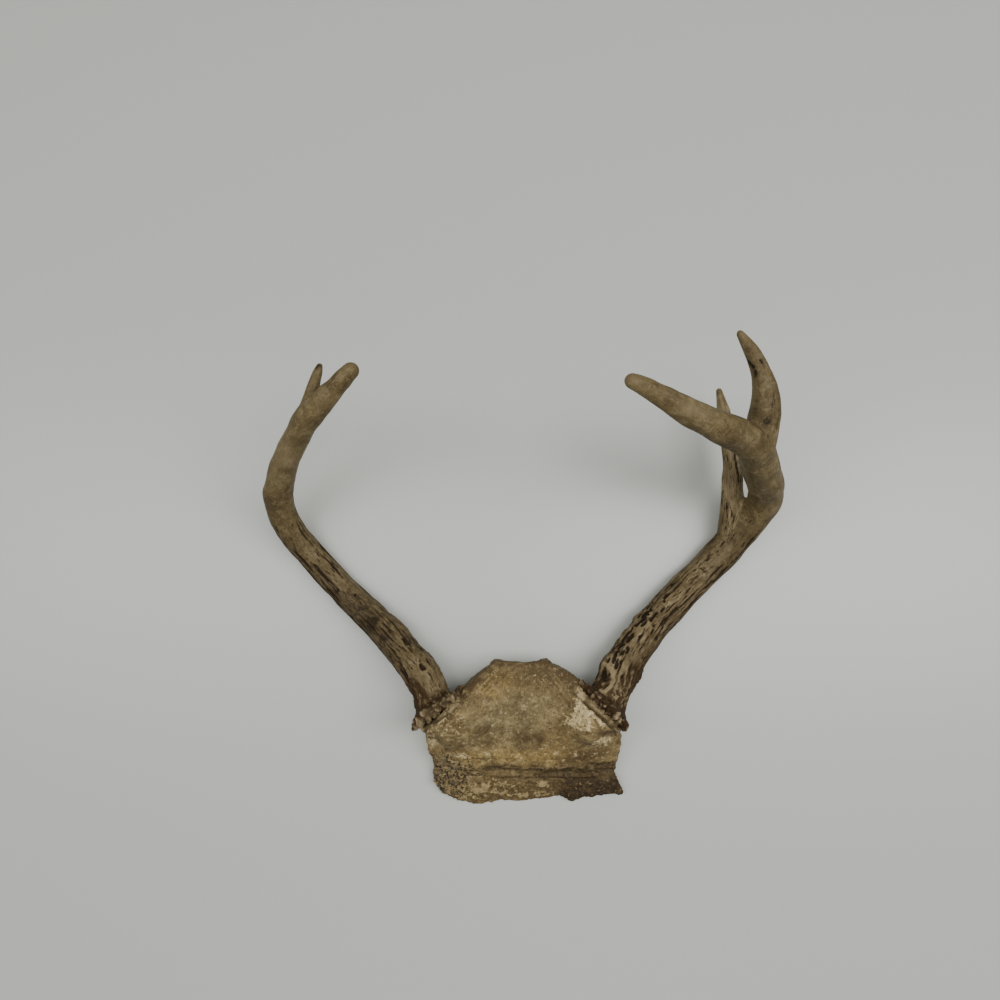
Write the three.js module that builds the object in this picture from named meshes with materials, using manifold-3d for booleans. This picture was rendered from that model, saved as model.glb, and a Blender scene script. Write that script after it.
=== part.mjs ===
// A young whitetail rack: two antlers standing on the skull plate they grew from.
// Millimetres, +Z up. The origin is on the sawn base of the plate, midway between
// the antlers; +Y runs from the brow towards the antler tips, +X to the three-point side.
// The rack lies brow up on its sawn base and on the low bend of each beam.
import * as THREE from 'three';
import { mergeVertices } from 'three/addons/utils/BufferGeometryUtils.js';
import Module from 'manifold-3d';

const wasm = await Module();
wasm.setup();

// ---------------------------------------------------------------- driving dimensions
const JOINT_GAP = 0.3; // clearance between touching pieces
const BEAM_SIDES = 24;
const TIP_SIDES = 18;
const TINE_SIDES = 14;
const TIP_RING_SHARES = [0.45, 0.75, 0.95]; // of the end radius
const LEAST_ROUNDING = 0.02; // keeps the last ring from closing to a point
const LENGTH_DIVISIONS = 1200;
const BEAM_RING_STEP = 5.3;
const TINE_RING_STEP = 4.4;
const BURR_LENGTH = 5; // thickness of the beaded ring along the beam
const BURR_FLARE = 6.6; // how far the ring stands out from the beam
const BURR_BEADS = 12;
const BURR_BEAD_HEIGHT = 2.2;
const BURR_RINGS = [0, 0.7, 1.9, 3.1, 4.3, 5.5, 7, 9, 12];
const RIDGES = 8; // lengthwise ridges round a beam
const RIDGE_DEPTH = 0.9;
const RIDGE_FADE = 150; // distance from the burr where the ridges die out
const COLLAR_RADIUS = { right: 15.2, left: 12.2 }; // pedicle under the burr
const PEDICLE_ROOT_RADIUS = 9;
const PEDICLE_LENGTH = 14;
const PEDICLE_DIP = 10; // how far its root sits below the beam's line
const PEDICLE_WAIST = 0.93; // share of the collar's radius halfway down
const PEDICLE_RING_STEP = 4;
const BEAM_SPACE = { radius: 20, length: 12 }; // kept free of bone behind each burr

// Limb centrelines from burr or fork to tip: x, y, z, radius.
const RIGHT_BEAM = [
  [38.6, 20.2, 27.7, 10.9], [43.2, 25.4, 26.6, 10.6], [48.3, 33.5, 24.5, 10.2], [56, 46, 20.8, 9.7],
  [72, 65, 14.6, 9.3], [90, 82, 10.5, 9.1], [105, 96, 9, 9.1], [118, 110.5, 13, 9.1], [127, 122.5, 20, 9.1],
  [131, 130, 29, 9.1], [129.5, 136, 39, 9.2], [122, 142, 54, 9.5], [116, 147, 66, 9.3],
  [111, 150.5, 76, 8.8], [100, 154, 86, 8.1], [84, 157, 98, 7.1], [69, 161.5, 107, 6.2],
  [57, 167, 111.5, 5], [47, 171.8, 113, 3.8], [42, 173.8, 112.5, 2.9],
];
const RIGHT_UPPER_TINE = [
  [112, 149, 76, 8.6], [113.5, 159, 79.5, 8], [114.3, 169, 84, 7.1], [112.7, 177, 88, 5.9],
  [110, 185, 90.5, 4.7], [105.5, 194, 92.5, 3.3], [99.6, 203.5, 93, 1.2],
];
const RIGHT_LOWER_TINE = [
  [114.5, 105.5, 11.5, 6.6], [117, 117, 15, 7.4], [118.2, 129, 19, 6.9], [117.4, 139, 21.3, 5.8],
  [116.3, 153, 23.2, 5.1], [114.3, 168, 24.6, 4.4], [111.8, 183, 25, 3.4], [109.6, 196, 24, 1.2],
];
const LEFT_BEAM = [
  [-44.3, 18.3, 27.7, 10.5], [-48, 23.4, 26.6, 10.2], [-51.8, 32, 24.8, 9.8],
  [-60, 43.5, 21.4, 9.3], [-76, 60.5, 14.8, 8.7], [-93, 75.5, 9.9, 7.9], [-108, 89.5, 7.5, 7.7],
  [-120, 102.5, 8.8, 7.7], [-128.5, 113.5, 15, 7.9], [-133, 124, 23, 7.9], [-132.5, 132.5, 32, 7.6],
  [-127, 144, 47, 7.2], [-120, 153, 59, 7.1], [-112.5, 160.5, 69, 6.8], [-107.5, 165, 76, 6.9],
  [-100, 170, 82.5, 5.9], [-90, 176.3, 90, 4.8], [-84.3, 180.8, 94, 4.1], [-80.6, 183.6, 96, 3.4],
];
const LEFT_UPPER_TINE = [
  [-108.5, 163, 73, 5.6], [-106, 172, 78, 4.2], [-103.6, 180, 81, 3], [-101.4, 186.5, 82.3, 2.2],
  [-100, 191, 82.5, 1.1],
];
const RIGHT_FORK = 13; // index of the path point where beam and beam tip part
const LEFT_FORK = 14;

// Knobs on the beams: x, y, z, reach, height.
const KNOBS = [
  [45, 45, 27, 6, 2.4],
  [-140.5, 143.5, 47, 7, 1.9],
  [63, 36, 22, 5, 1.6],
  [-52, 47, 26, 6, 1.2],
  [28, 31, 29, 5, 1.8],
];

// Stations of the skull plate from its broken front edge to the crown at the rear:
// y, left edge x, right edge x, height on the mid-plane, height at the left and right edge.
const PLATE_STATIONS = [
  [-32, -25, 53.8, 1.6, 1.5, 2.6],
  [-29, -38, 53.6, 3.8, 2.5, 3.4],
  [-25, -45.5, 52.6, 6.8, 3.6, 4.6],
  [-21, -48, 51.4, 9.8, 4.8, 5.8],
  [-18.5, -48.8, 51, 10.8, 5.6, 7],
  [-16.8, -48.8, 50.6, 9.4, 6, 7.2],
  [-15, -48.8, 50, 10.4, 6.6, 7.6],
  [-13, -48.6, 49.8, 14.6, 8.2, 9.2],
  [-10, -49.2, 50, 17.4, 9.6, 10.4],
  [-5, -51, 51.2, 20.8, 12, 12.5],
  [0.5, -51.5, 51.4, 23.9, 15.2, 16.2],
  [5.5, -51.8, 51.2, 26.2, 19, 20.5],
  [10, -52.3, 50, 28, 24.5, 26],
  [15, -47, 46, 29.8, 34, 34.5],
  [20, -41.5, 40.5, 31.4, 37, 37],
  [25, -36.5, 36, 33, 35, 34.5],
  [30, -31.5, 31, 34.2, 32.5, 33.5],
  [35, -27, 26.5, 35.2, 31.5, 32.5],
  [39.5, -21.5, 19.5, 36, 33, 34.5],
  [43, -18.6, 15, 36.6, 35.4, 35.8],
  [46.3, -16.2, 12.2, 36.6, 36.9, 36.9],
];
const PLATE_COLUMNS = 22;
const SHOULDER = 3.2; // how late the brow falls away to its edges
const FRONT_SLANT = 0.075; // the front edge runs askew, nearer on the left
// Bites and points of the front edge: x, width, depth.
const FRONT_BITES = [[19.5, 4, 1.4], [27, 3.2, -1.9], [-12, 9, 0.7], [44, 6, 0.8]];
const REAR_DIP = 1.9; // hollow of the rear lip between its two corners
const FLAKE = { x: 41, y: -25, reach: [13, 5], height: 2.4 }; // lifted flake, front right
const TISSUE = { x: -41, y: -20, reach: [8, 8], height: 1.8 }; // dried tissue, front left
const PEDICLE_MOUND = { height: 9.5, reach: 15, places: [[36, 16], [-38, 15]] };
const PLATE_ROUGHNESS = 0.5;
const EDGE_RAGGEDNESS = 0.8;
const WALL_LEVELS = [0.5, 0]; // share of the edge's height
const WALL_INSET = 0.014; // how far the walls lean in towards the base
const BASE_CENTRE = [0, 5, 0];
const BRAINCASE = { centre: [-2, 41, 0], radii: [21, 32, 31] };
const ORBIT = { x: 57, y: -2, radii: [14, 12.5, 9] };

const ANTLER_COLOUR = 0x7a6848;
const TIP_COLOUR = 0x6f5d40;
const BONE_COLOUR = 0xa48c60;
const BONE_ROUGHNESS = 0.6;

// ---------------------------------------------------------------- helpers
function smoothstep(low, high, value) {
  const t = Math.min(1, Math.max(0, (value - low) / (high - low)));
  return t * t * (3 - 2 * t);
}

// Gentle unevenness of grown bone, between -1 and 1.
function uneven(x, y, z, wavelength) {
  const k = (2 * Math.PI) / wavelength;
  const a = Math.sin(k * (x + 0.6 * y) + 1.3) * Math.cos(k * (0.8 * z - 0.5 * x));
  const b = Math.sin(k * 1.9 * (y - 0.4 * z) + 0.7) * Math.cos(k * 1.7 * (x + 0.3 * y) + 2.1);
  return 0.6 * a + 0.4 * b;
}

// A limb's centreline with its radius, measured by distance from its start.
class Limb {
  constructor(points) {
    this.radii = points.map((p) => p[3]);
    const places = points.map((p) => new THREE.Vector3(p[0], p[1], p[2]));
    this.curve = new THREE.CatmullRomCurve3(places, false, 'centripetal');
    this.curve.arcLengthDivisions = LENGTH_DIVISIONS;
    this.length = this.curve.getLength();
  }

  parameter(distance) {
    return this.curve.getUtoTmapping(0, distance);
  }

  point(distance) {
    return this.curve.getPoint(this.parameter(distance));
  }

  tangent(distance) {
    return this.curve.getTangent(this.parameter(distance)).normalize();
  }

  radius(distance) {
    const place = this.parameter(distance) * (this.radii.length - 1);
    const index = Math.min(this.radii.length - 2, Math.floor(place));
    return THREE.MathUtils.lerp(this.radii[index], this.radii[index + 1], place - index);
  }

  // Distance at which the centreline passes the path point of this index.
  distanceOf(index) {
    const target = index / (this.radii.length - 1);
    const lengths = this.curve.getLengths();
    return lengths[Math.round(target * (lengths.length - 1))];
  }
}

function evenSteps(from, to, step) {
  const count = Math.max(2, Math.round((to - from) / step));
  return Array.from({ length: count + 1 }, (_, i) => from + ((to - from) * i) / count);
}

// Distances of the rings on a rounded tip of this radius at the limb's end.
function roundTipRings(length, radius) {
  return TIP_RING_SHARES.map((share) => length - radius + radius * share);
}

// A closed skin round a limb. relief(distance, angle, point) is added to the radius.
function sweep(limb, rings, sides, { relief, grow = 0, roundTip = false }) {
  const endRadius = limb.radii[limb.radii.length - 1];
  const positions = [];
  const index = [];
  const tangent = limb.tangent(rings[0]);
  const normal = new THREE.Vector3(0, 0, 1).addScaledVector(tangent, -tangent.z).normalize();
  for (const distance of rings) {
    const centre = limb.point(distance);
    tangent.copy(limb.tangent(distance));
    normal.addScaledVector(tangent, -normal.dot(tangent)).normalize();
    const side = new THREE.Vector3().crossVectors(tangent, normal);
    const past = roundTip ? Math.max(0, (distance - (limb.length - endRadius)) / endRadius) : 0;
    const rounding = Math.sqrt(Math.max(LEAST_ROUNDING, 1 - past * past));
    for (let k = 0; k < sides; k += 1) {
      const angle = (2 * Math.PI * k) / sides;
      const direction = normal.clone().multiplyScalar(Math.cos(angle));
      direction.addScaledVector(side, Math.sin(angle));
      const base = (limb.radius(distance) + grow) * rounding;
      const skin = centre.clone().addScaledVector(direction, base);
      const lift = relief ? relief(distance, angle, skin) : 0;
      skin.addScaledVector(direction, lift);
      positions.push(skin.x, skin.y, skin.z);
    }
  }
  for (let ring = 0; ring < rings.length - 1; ring += 1) {
    for (let k = 0; k < sides; k += 1) {
      const a = ring * sides + k;
      const b = ring * sides + ((k + 1) % sides);
      index.push(a, b, b + sides, a, b + sides, a + sides);
    }
  }
  const startCentre = positions.length / 3;
  const first = limb.point(rings[0]);
  positions.push(first.x, first.y, first.z);
  const last = limb.point(rings[rings.length - 1]);
  if (roundTip) last.copy(limb.point(limb.length));
  positions.push(last.x, last.y, last.z);
  const lastRing = (rings.length - 1) * sides;
  for (let k = 0; k < sides; k += 1) {
    const next = (k + 1) % sides;
    index.push(startCentre, next, k);
    index.push(startCentre + 1, lastRing + k, lastRing + next);
  }
  const geometry = new THREE.BufferGeometry();
  geometry.setAttribute('position', new THREE.Float32BufferAttribute(positions, 3));
  geometry.setIndex(index);
  return geometry;
}

function toSolid(geometry) {
  const bare = geometry.clone();
  bare.deleteAttribute('normal');
  bare.deleteAttribute('uv');
  const merged = mergeVertices(bare, 1e-4);
  const vertProperties = new Float32Array(merged.attributes.position.array);
  const triVerts = new Uint32Array(merged.index.array);
  return new wasm.Manifold(new wasm.Mesh({ numProp: 3, vertProperties, triVerts }));
}

function toGeometry(solid) {
  const mesh = solid.getMesh();
  const positions = [];
  for (let i = 0; i < mesh.numVert; i += 1) {
    const at = i * mesh.numProp;
    positions.push(mesh.vertProperties[at], mesh.vertProperties[at + 1], mesh.vertProperties[at + 2]);
  }
  const geometry = new THREE.BufferGeometry();
  geometry.setAttribute('position', new THREE.Float32BufferAttribute(positions, 3));
  geometry.setIndex(Array.from(mesh.triVerts));
  return geometry;
}

function ellipsoid(centre, radii, columns = 28, rows = 18) {
  const geometry = new THREE.SphereGeometry(1, columns, rows);
  geometry.scale(radii[0], radii[1], radii[2]);
  geometry.translate(centre[0], centre[1], centre[2]);
  return toSolid(geometry);
}

function piece(name, geometry, colour) {
  const material = new THREE.MeshStandardMaterial({
    color: colour,
    roughness: BONE_ROUGHNESS,
    metalness: 0,
  });
  geometry.computeVertexNormals();
  const mesh = new THREE.Mesh(geometry, material);
  mesh.name = name;
  return mesh;
}

// ---------------------------------------------------------------- antler relief
// The beaded ring at the foot of a beam.
function burr(distance, angle) {
  const rise = smoothstep(-2.4, 1.2, distance);
  const fall = 1 - smoothstep(3.2, BURR_LENGTH + 2, distance);
  const onRing = rise * (1 - smoothstep(3.4, 6.2, distance));
  const bead = 0.5 + 0.5 * Math.cos(BURR_BEADS * angle + 1.1 * distance);
  const large = 0.65 + 0.35 * Math.sin(3 * angle + 0.8);
  return BURR_FLARE * rise * fall - BURR_BEAD_HEIGHT * onRing * (1 - bead * large);
}

// Lengthwise ridges that fade up the beam, cut into the skin.
function ridges(distance, angle) {
  const wander = 0.5 * Math.sin(distance / 19) + 0.3 * Math.sin(distance / 7.3);
  const ridge = 0.5 - 0.5 * Math.cos(RIDGES * angle + wander);
  const breaks = 0.55 + 0.45 * Math.sin(distance / 4.1 + 3 * Math.sin(2 * angle));
  const fade = smoothstep(4, 12, distance) * (1 - smoothstep(0.35 * RIDGE_FADE, RIDGE_FADE, distance));
  return -RIDGE_DEPTH * ridge * breaks * fade;
}

function knobs(point) {
  let lift = 0;
  for (const [x, y, z, reach, height] of KNOBS) {
    const away = Math.hypot(point.x - x, point.y - y, point.z - z) / reach;
    lift += height * Math.exp(-away * away);
  }
  return lift;
}

function beamRelief(distance, angle, point) {
  const lump = -0.35 * (0.5 + 0.5 * uneven(point.x, point.y, point.z, 23));
  return burr(distance, angle) + ridges(distance, angle) + knobs(point) + lump;
}

function tineRelief(distance, angle, point) {
  return -0.3 * (0.5 + 0.5 * uneven(point.x, point.y, point.z, 17)) + knobs(point);
}

// ---------------------------------------------------------------- antlers
// Beam and beam tip share one centreline and part at the fork.
function beamAndTip(points, forkIndex) {
  const limb = new Limb(points);
  const fork = limb.distanceOf(forkIndex);
  const lastBurrRing = BURR_RINGS[BURR_RINGS.length - 1];
  const beamEnd = fork - JOINT_GAP / 2;
  const beamRings = [
    ...BURR_RINGS,
    ...evenSteps(lastBurrRing + BEAM_RING_STEP, beamEnd, BEAM_RING_STEP),
  ];
  const endRadius = points[points.length - 1][3];
  const tipRings = [
    ...evenSteps(fork + JOINT_GAP / 2, limb.length - endRadius, BEAM_RING_STEP),
    ...roundTipRings(limb.length, endRadius),
  ];
  return {
    limb,
    beam: sweep(limb, beamRings, BEAM_SIDES, { relief: beamRelief }),
    tip: sweep(limb, tipRings, TIP_SIDES, { relief: tineRelief, roundTip: true }),
    keepOut: toSolid(
      sweep(limb, evenSteps(0.5, limb.length - 1, BEAM_RING_STEP), BEAM_SIDES, {
        grow: JOINT_GAP,
        relief: (distance, angle, point) => knobs(point),
      }),
    ),
  };
}

// A tine grows out of its beam, so its root is cut to the beam's skin.
function tine(points, keepOut) {
  const limb = new Limb(points);
  const endRadius = points[points.length - 1][3];
  const rings = [
    ...evenSteps(0, limb.length - endRadius, TINE_RING_STEP),
    ...roundTipRings(limb.length, endRadius),
  ];
  const whole = toSolid(sweep(limb, rings, TINE_SIDES, { relief: tineRelief, roundTip: true }));
  const parts = whole.subtract(keepOut).decompose();
  parts.sort((a, b) => b.volume() - a.volume());
  return toGeometry(parts[0]);
}

// ---------------------------------------------------------------- skull plate
function hump(x, y, { x: cx, y: cy, reach, height }) {
  const away = Math.hypot((x - cx) / reach[0], (y - cy) / reach[1]);
  return height * Math.exp(-away * away);
}

// A point of the plate's upper face at this station; across runs from -1, left, to 1, right.
function browPoint([y0, left, right, middle, leftEdge, rightEdge], across, atFront, atRear) {
  const edge = across < 0 ? leftEdge : rightEdge;
  const share = Math.abs(across);
  const ragged = EDGE_RAGGEDNESS * smoothstep(0.9, 1, share) * uneven(0, y0, across * 9, 13);
  const x = THREE.MathUtils.lerp(left, right, 0.5 + 0.5 * across) + ragged;
  let y = y0 + atFront * FRONT_SLANT * x;
  for (const [middleX, width, depth] of FRONT_BITES) {
    y += atFront * depth * Math.exp(-(((x - middleX) / width) ** 2));
  }
  y -= atRear * REAR_DIP * (1 - across * across);
  let z = THREE.MathUtils.lerp(middle, edge, share ** SHOULDER);
  z += hump(x, y, FLAKE) + hump(x, y, TISSUE) * (1 - share ** 8);
  for (const [mx, my] of PEDICLE_MOUND.places) {
    const away = Math.hypot(x - mx, y - my) / PEDICLE_MOUND.reach;
    z += PEDICLE_MOUND.height * Math.exp(-away * away) * (1 - share ** 6);
  }
  const rough = PLATE_ROUGHNESS * (uneven(x, y, 0, 16) + 0.8 * uneven(y, x, 0, 7.5));
  return [x, y, Math.max(1, z + rough * (1 - share ** 8))];
}

function plateBody() {
  const rows = PLATE_STATIONS.length;
  const columns = PLATE_COLUMNS + 1;
  const top = [];
  PLATE_STATIONS.forEach((station, row) => {
    const atFront = smoothstep(5, 0, row);
    const atRear = smoothstep(rows - 4, rows - 1, row);
    for (let k = 0; k < columns; k += 1) {
      const u = -1 + (2 * k) / PLATE_COLUMNS;
      const across = Math.sin((u * Math.PI) / 2) * 0.5 + u * 0.5;
      top.push(browPoint(station, across, atFront, atRear));
    }
  });
  const index = [];
  for (let row = 0; row < rows - 1; row += 1) {
    for (let k = 0; k < columns - 1; k += 1) {
      const a = row * columns + k;
      index.push(a, a + 1, a + columns + 1, a, a + columns + 1, a + columns);
    }
  }
  // the edge loop, anticlockwise from the front left corner
  const loop = [];
  for (let k = 0; k < columns - 1; k += 1) loop.push(k);
  for (let row = 0; row < rows - 1; row += 1) loop.push(row * columns + columns - 1);
  for (let k = columns - 1; k > 0; k -= 1) loop.push((rows - 1) * columns + k);
  for (let row = rows - 1; row > 0; row -= 1) loop.push(row * columns);
  const points = [...top];
  let upper = loop;
  for (const level of WALL_LEVELS) {
    const start = points.length;
    loop.forEach((corner) => {
      const [x, y, z] = top[corner];
      const inset = 1 - WALL_INSET * (1 - level) * (1 + uneven(x, y, 9, 12));
      points.push([x * inset, y * inset, z * level]);
    });
    const lower = loop.map((_, i) => start + i);
    lower.forEach((_, i) => {
      const next = (i + 1) % loop.length;
      index.push(upper[i], lower[i], lower[next], upper[i], lower[next], upper[next]);
    });
    upper = lower;
  }
  const baseCentre = points.length;
  points.push(BASE_CENTRE);
  upper.forEach((corner, i) => index.push(baseCentre, upper[(i + 1) % upper.length], corner));
  const geometry = new THREE.BufferGeometry();
  geometry.setAttribute('position', new THREE.Float32BufferAttribute(points.flat(), 3));
  geometry.setIndex(index);
  return toSolid(geometry);
}

// The bony stem under an antler, flush with the foot of its burr.
function pedicle(limb, collarRadius) {
  const foot = limb.point(0);
  const along = limb.tangent(0);
  const root = foot.clone().addScaledVector(along, -PEDICLE_LENGTH);
  root.z -= PEDICLE_DIP;
  const top = foot.clone().addScaledVector(along, -JOINT_GAP);
  const middle = foot.clone().addScaledVector(along, -PEDICLE_LENGTH / 2);
  middle.z -= PEDICLE_DIP / 4;
  const stem = new Limb([
    [...root.toArray(), PEDICLE_ROOT_RADIUS],
    [...middle.toArray(), collarRadius * PEDICLE_WAIST],
    [...top.toArray(), collarRadius],
  ]);
  return toSolid(sweep(stem, evenSteps(0, stem.length, PEDICLE_RING_STEP), BEAM_SIDES, {}));
}

function skullPlate(antlers) {
  let solid = plateBody();
  for (const [limb, collarRadius] of antlers) {
    solid = solid.add(pedicle(limb, collarRadius));
    // nothing of the plate reaches past the foot of the burr, where the beam stands
    const from = limb.point(0).addScaledVector(limb.tangent(0), -JOINT_GAP);
    const to = limb.point(0).addScaledVector(limb.tangent(0), BEAM_SPACE.length);
    const space = new Limb([
      [...from.toArray(), BEAM_SPACE.radius],
      [...to.toArray(), BEAM_SPACE.radius],
    ]);
    solid = solid.subtract(toSolid(sweep(space, [0, space.length], BEAM_SIDES, {})));
  }
  solid = solid.subtract(ellipsoid(BRAINCASE.centre, BRAINCASE.radii));
  for (const side of [-1, 1]) {
    solid = solid.subtract(ellipsoid([side * ORBIT.x, ORBIT.y, 0], ORBIT.radii, 20, 12));
  }
  return toGeometry(solid);
}

// ---------------------------------------------------------------- the rack
const right = beamAndTip(RIGHT_BEAM, RIGHT_FORK);
const left = beamAndTip(LEFT_BEAM, LEFT_FORK);
const antlers = [
  [right.limb, COLLAR_RADIUS.right],
  [left.limb, COLLAR_RADIUS.left],
];
const rack = new THREE.Group();
rack.add(
  piece('skull_plate', skullPlate(antlers), BONE_COLOUR),
  piece('right_beam', right.beam, ANTLER_COLOUR),
  piece('right_beam_tip', right.tip, TIP_COLOUR),
  piece('right_upper_tine', tine(RIGHT_UPPER_TINE, right.keepOut), TIP_COLOUR),
  piece('right_lower_tine', tine(RIGHT_LOWER_TINE, right.keepOut), ANTLER_COLOUR),
  piece('left_beam', left.beam, ANTLER_COLOUR),
  piece('left_beam_tip', left.tip, TIP_COLOUR),
  piece('left_upper_tine', tine(LEFT_UPPER_TINE, left.keepOut), TIP_COLOUR),
);

export default rack;
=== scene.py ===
import math

import bpy
import numpy as np
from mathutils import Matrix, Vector
from mathutils.bvhtree import BVHTree


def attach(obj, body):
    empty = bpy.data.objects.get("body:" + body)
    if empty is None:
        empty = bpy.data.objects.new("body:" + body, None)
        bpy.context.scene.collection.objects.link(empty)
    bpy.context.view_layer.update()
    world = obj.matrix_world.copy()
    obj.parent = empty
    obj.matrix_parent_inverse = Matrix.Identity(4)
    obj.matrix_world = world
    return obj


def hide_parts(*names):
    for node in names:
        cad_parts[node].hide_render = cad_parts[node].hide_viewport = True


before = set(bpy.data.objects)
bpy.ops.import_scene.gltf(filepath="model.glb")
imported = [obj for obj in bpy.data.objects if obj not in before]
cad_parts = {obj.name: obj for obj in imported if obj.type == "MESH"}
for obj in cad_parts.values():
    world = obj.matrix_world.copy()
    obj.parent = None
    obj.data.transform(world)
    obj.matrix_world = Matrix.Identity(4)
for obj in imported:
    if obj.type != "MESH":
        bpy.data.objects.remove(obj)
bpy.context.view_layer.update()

# A young whitetail rack on its skull plate, lying brow up on a pale table.
# Shapes are worked out in millimetres in the frame's axes and turned into metres
# when a mesh is made. Each antler is one skin grown over its limbs, then carved.

MM = 0.001

# ------------------------------------------------------------------ driving dimensions
CAMERA_PLACE = (-0.013, 0.076, 0.424)
CAMERA_TILT = math.radians(8)
CAMERA_LENS = 26.28
SENSOR = 36.0

RIGHT_VOXEL = 0.575  # mm, size of the faces of an antler's skin
LEFT_VOXEL = 0.48
BONE_VOXEL = 0.545  # mm, the same for the skull plate
TUBE_SIDES = 64
TUBE_STEP = 0.9

BURR_FLARE = 6.6
BURR_LENGTH = 5.0
RIDGES = 8
COLLAR_RADIUS = {"right": 15.2, "left": 12.2}
PEDICLE_LENGTH = 14.0
PEDICLE_DIP = 10.0
PEDICLE_ROOT_RADIUS = 9.0
PEDICLE_WAIST = 0.93

# Limb centrelines from burr or fork to tip: x, y, z, radius.
RIGHT_BEAM = [
    (38.6, 20.2, 27.7, 10.9), (43.2, 25.4, 26.6, 10.6), (48.3, 33.5, 24.5, 10.2),
    (56, 46, 20.8, 9.7), (72, 65, 14.6, 9.3), (90, 82, 10.5, 9.1), (105, 96, 9, 9.1), (118, 110.5, 13, 9.1), (127, 122.5, 20, 9.1),
    (130.6, 130, 29, 8.9), (129.1, 136, 39, 9.0), (122, 142, 54, 9.5), (116, 147, 66, 9.3),
    (111, 150.5, 76, 8.8), (100, 154.3, 86, 8.3), (84, 157.3, 98, 7.3), (69, 161.5, 107, 6.2),
    (57, 167, 111.5, 5), (47, 171.8, 113, 3.8), (42, 173.8, 112.5, 2.9),
]
RIGHT_UPPER_TINE = [
    (112, 149, 76, 8.6), (113.5, 159, 79.5, 8), (114.0, 169, 84, 6.9), (112.7, 177, 88, 5.9),
    (110, 185, 90.5, 4.7), (105.6, 194, 92.5, 3.7), (99.7, 203.5, 93, 1.5),
]
RIGHT_LOWER_TINE = [
    (114.5, 105.5, 11.5, 6.6), (117, 117, 15, 7.4), (117.6, 129, 19, 6.9), (116.8, 139, 21.3, 5.7),
    (116.3, 153, 23.2, 5.1), (114.3, 168, 24.6, 4.4), (112.2, 183, 25, 3.6), (110.5, 196, 24, 1.4),
]
LEFT_BEAM = [
    (-44.3, 18.3, 27.7, 10.5), (-48, 23.4, 26.6, 10.2), (-51.8, 32, 24.8, 9.8),
    (-60, 43.5, 21.4, 9.3), (-76, 60.5, 14.8, 8.7), (-93, 75.5, 9.9, 7.9), (-108, 89.5, 7.5, 7.7), (-120, 102.5, 8.8, 7.7),
    (-128.5, 113.5, 15, 7.9), (-133, 124, 23, 7.9), (-132.8, 132.5, 32, 7.5),
    (-127.3, 144, 47, 7.0), (-120, 153, 59, 7.1), (-112.5, 160.5, 69, 6.8), (-107.5, 165, 76, 6.9),
    (-100, 170, 82.5, 5.9), (-90.3, 176.9, 90, 4.9), (-84.6, 181.6, 94, 4.1), (-79.8, 185.6, 96, 3.6),
]
LEFT_UPPER_TINE = [
    (-108.5, 163, 73, 5.6), (-106, 172, 78, 4.2), (-103.6, 180, 81, 3), (-101.4, 186.5, 82.3, 2.2),
    (-100, 191, 82.5, 1.1),
]

# Knobs: x, y, z, reach, height.
KNOBS = [
    (45, 45, 27, 6, 2.4),
    (-140, 133.5, 38, 7, 1.4),
    (53.5, 18, 26, 4.5, 2.0),
    (-33, 31, 27, 4, 1.8),
    (63, 36, 22, 5, 1.6),
    (-52, 47, 26, 6, 1.2),
    (28, 31, 29, 5, 1.8),
]

# Marks in the antlers' colour: x, y, z, reach, amount (dark above nought, pale below). Most are stains and
# wear; a few are painted light or painted shade, as noted.
MARKS = [
    (104.0, 188.6, 92.6, 1.7, 1.5),
    (104.8, 185.6, 93.2, 1.8, 1.6),
    (105.9, 182.2, 93.2, 1.7, 1.6),
    (109.0, 187.9, 95.6, 1.3, 1.4),
    (109.9, 185.6, 95.0, 1.0, 1.2),
    (103.9, 193.6, 95.6, 1.0, 1.1),
    (112.0, 168, 90, 8.0, 0.3),
    (113.0, 160.5, 88, 1.5, 0.9),
    (117.2, 156.5, 84, 1.6, 0.8),
    (42.3, 36.3, 32.4, 2.7, 1.5),
    (110.8, 160, 87.5, 6.0, 0.5),
    (77.7, 158.2, 109.5, 6.0, -0.6),
    (70.3, 160.4, 112.8, 5.0, -0.6),
    (46, 171.5, 116, 9.0, -0.5),
    (50, 168.4, 116.5, 4.0, 0.4),
    (129.3, 129.1, 45.9, 9.0, 0.6),
    (101.7, 150.5, 93.4, 4.0, -0.3),
    (-136.9, 125.4, 33.9, 7.0, 0.3),
    (-120.2, 145.9, 61.1, 2.6, -0.7),
    (-123.2, 141.8, 55.5, 2.2, 0.45),
    (-129.3, 107.6, 20.1, 7.0, 0.4),
    (-74.9, 56.1, 24.5, 4.5, 0.4),
    (-82.6, 63.9, 21.4, 4.0, 0.5),
    (-59.1, 55.9, 21.1, 8.0, 0.7),
    (-53.1, 48.2, 25.7, 6.0, 0.5),
    (-101.4, 189.2, 83.8, 3.0, 0.8),
    (62.4, 61.4, 25.1, 6.0, -0.6),
    (69.1, 72, 20, 6.0, -0.4),
    (46.4, 44.8, 28.9, 5.0, -0.7),
    # painted light: these two lighten the lower right tine where the beam above shades it
    (116.5, 148, 27, 16.0, -1.5),
    (114.5, 166, 28, 12.0, -1.3),
    # painted shade: this one darkens the outer edge of the right beam
    (121, 113, 22, 14.0, 0.75),
    (106, 98, 17, 10.0, 0.45),
    (-103, 182, 83, 9.0, 0.3),
    (-86, 69, 19, 16.0, 0.75),
    (-132, 126, 34, 14.0, 0.4),
    (-70, 55, 24, 9.0, 0.45),
    (-123, 150, 62, 14.0, -0.7),
    (-100, 81, 16, 12.0, 0.45),
    (-128, 108, 18, 12.0, 0.3),
    (-66, 47, 28, 8.0, -0.4),
    (-98, 172, 88, 9.0, -0.3),
    (56, 47, 31, 9.0, -0.5),
    (100, 203, 95, 8.0, -0.5),
]
CRACK = [(98.2, 95.2, 17.2), (100.6, 93.0, 17.9), (102.2, 90.3, 17.2), (105.2, 87.0, 15.6)]

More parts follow.
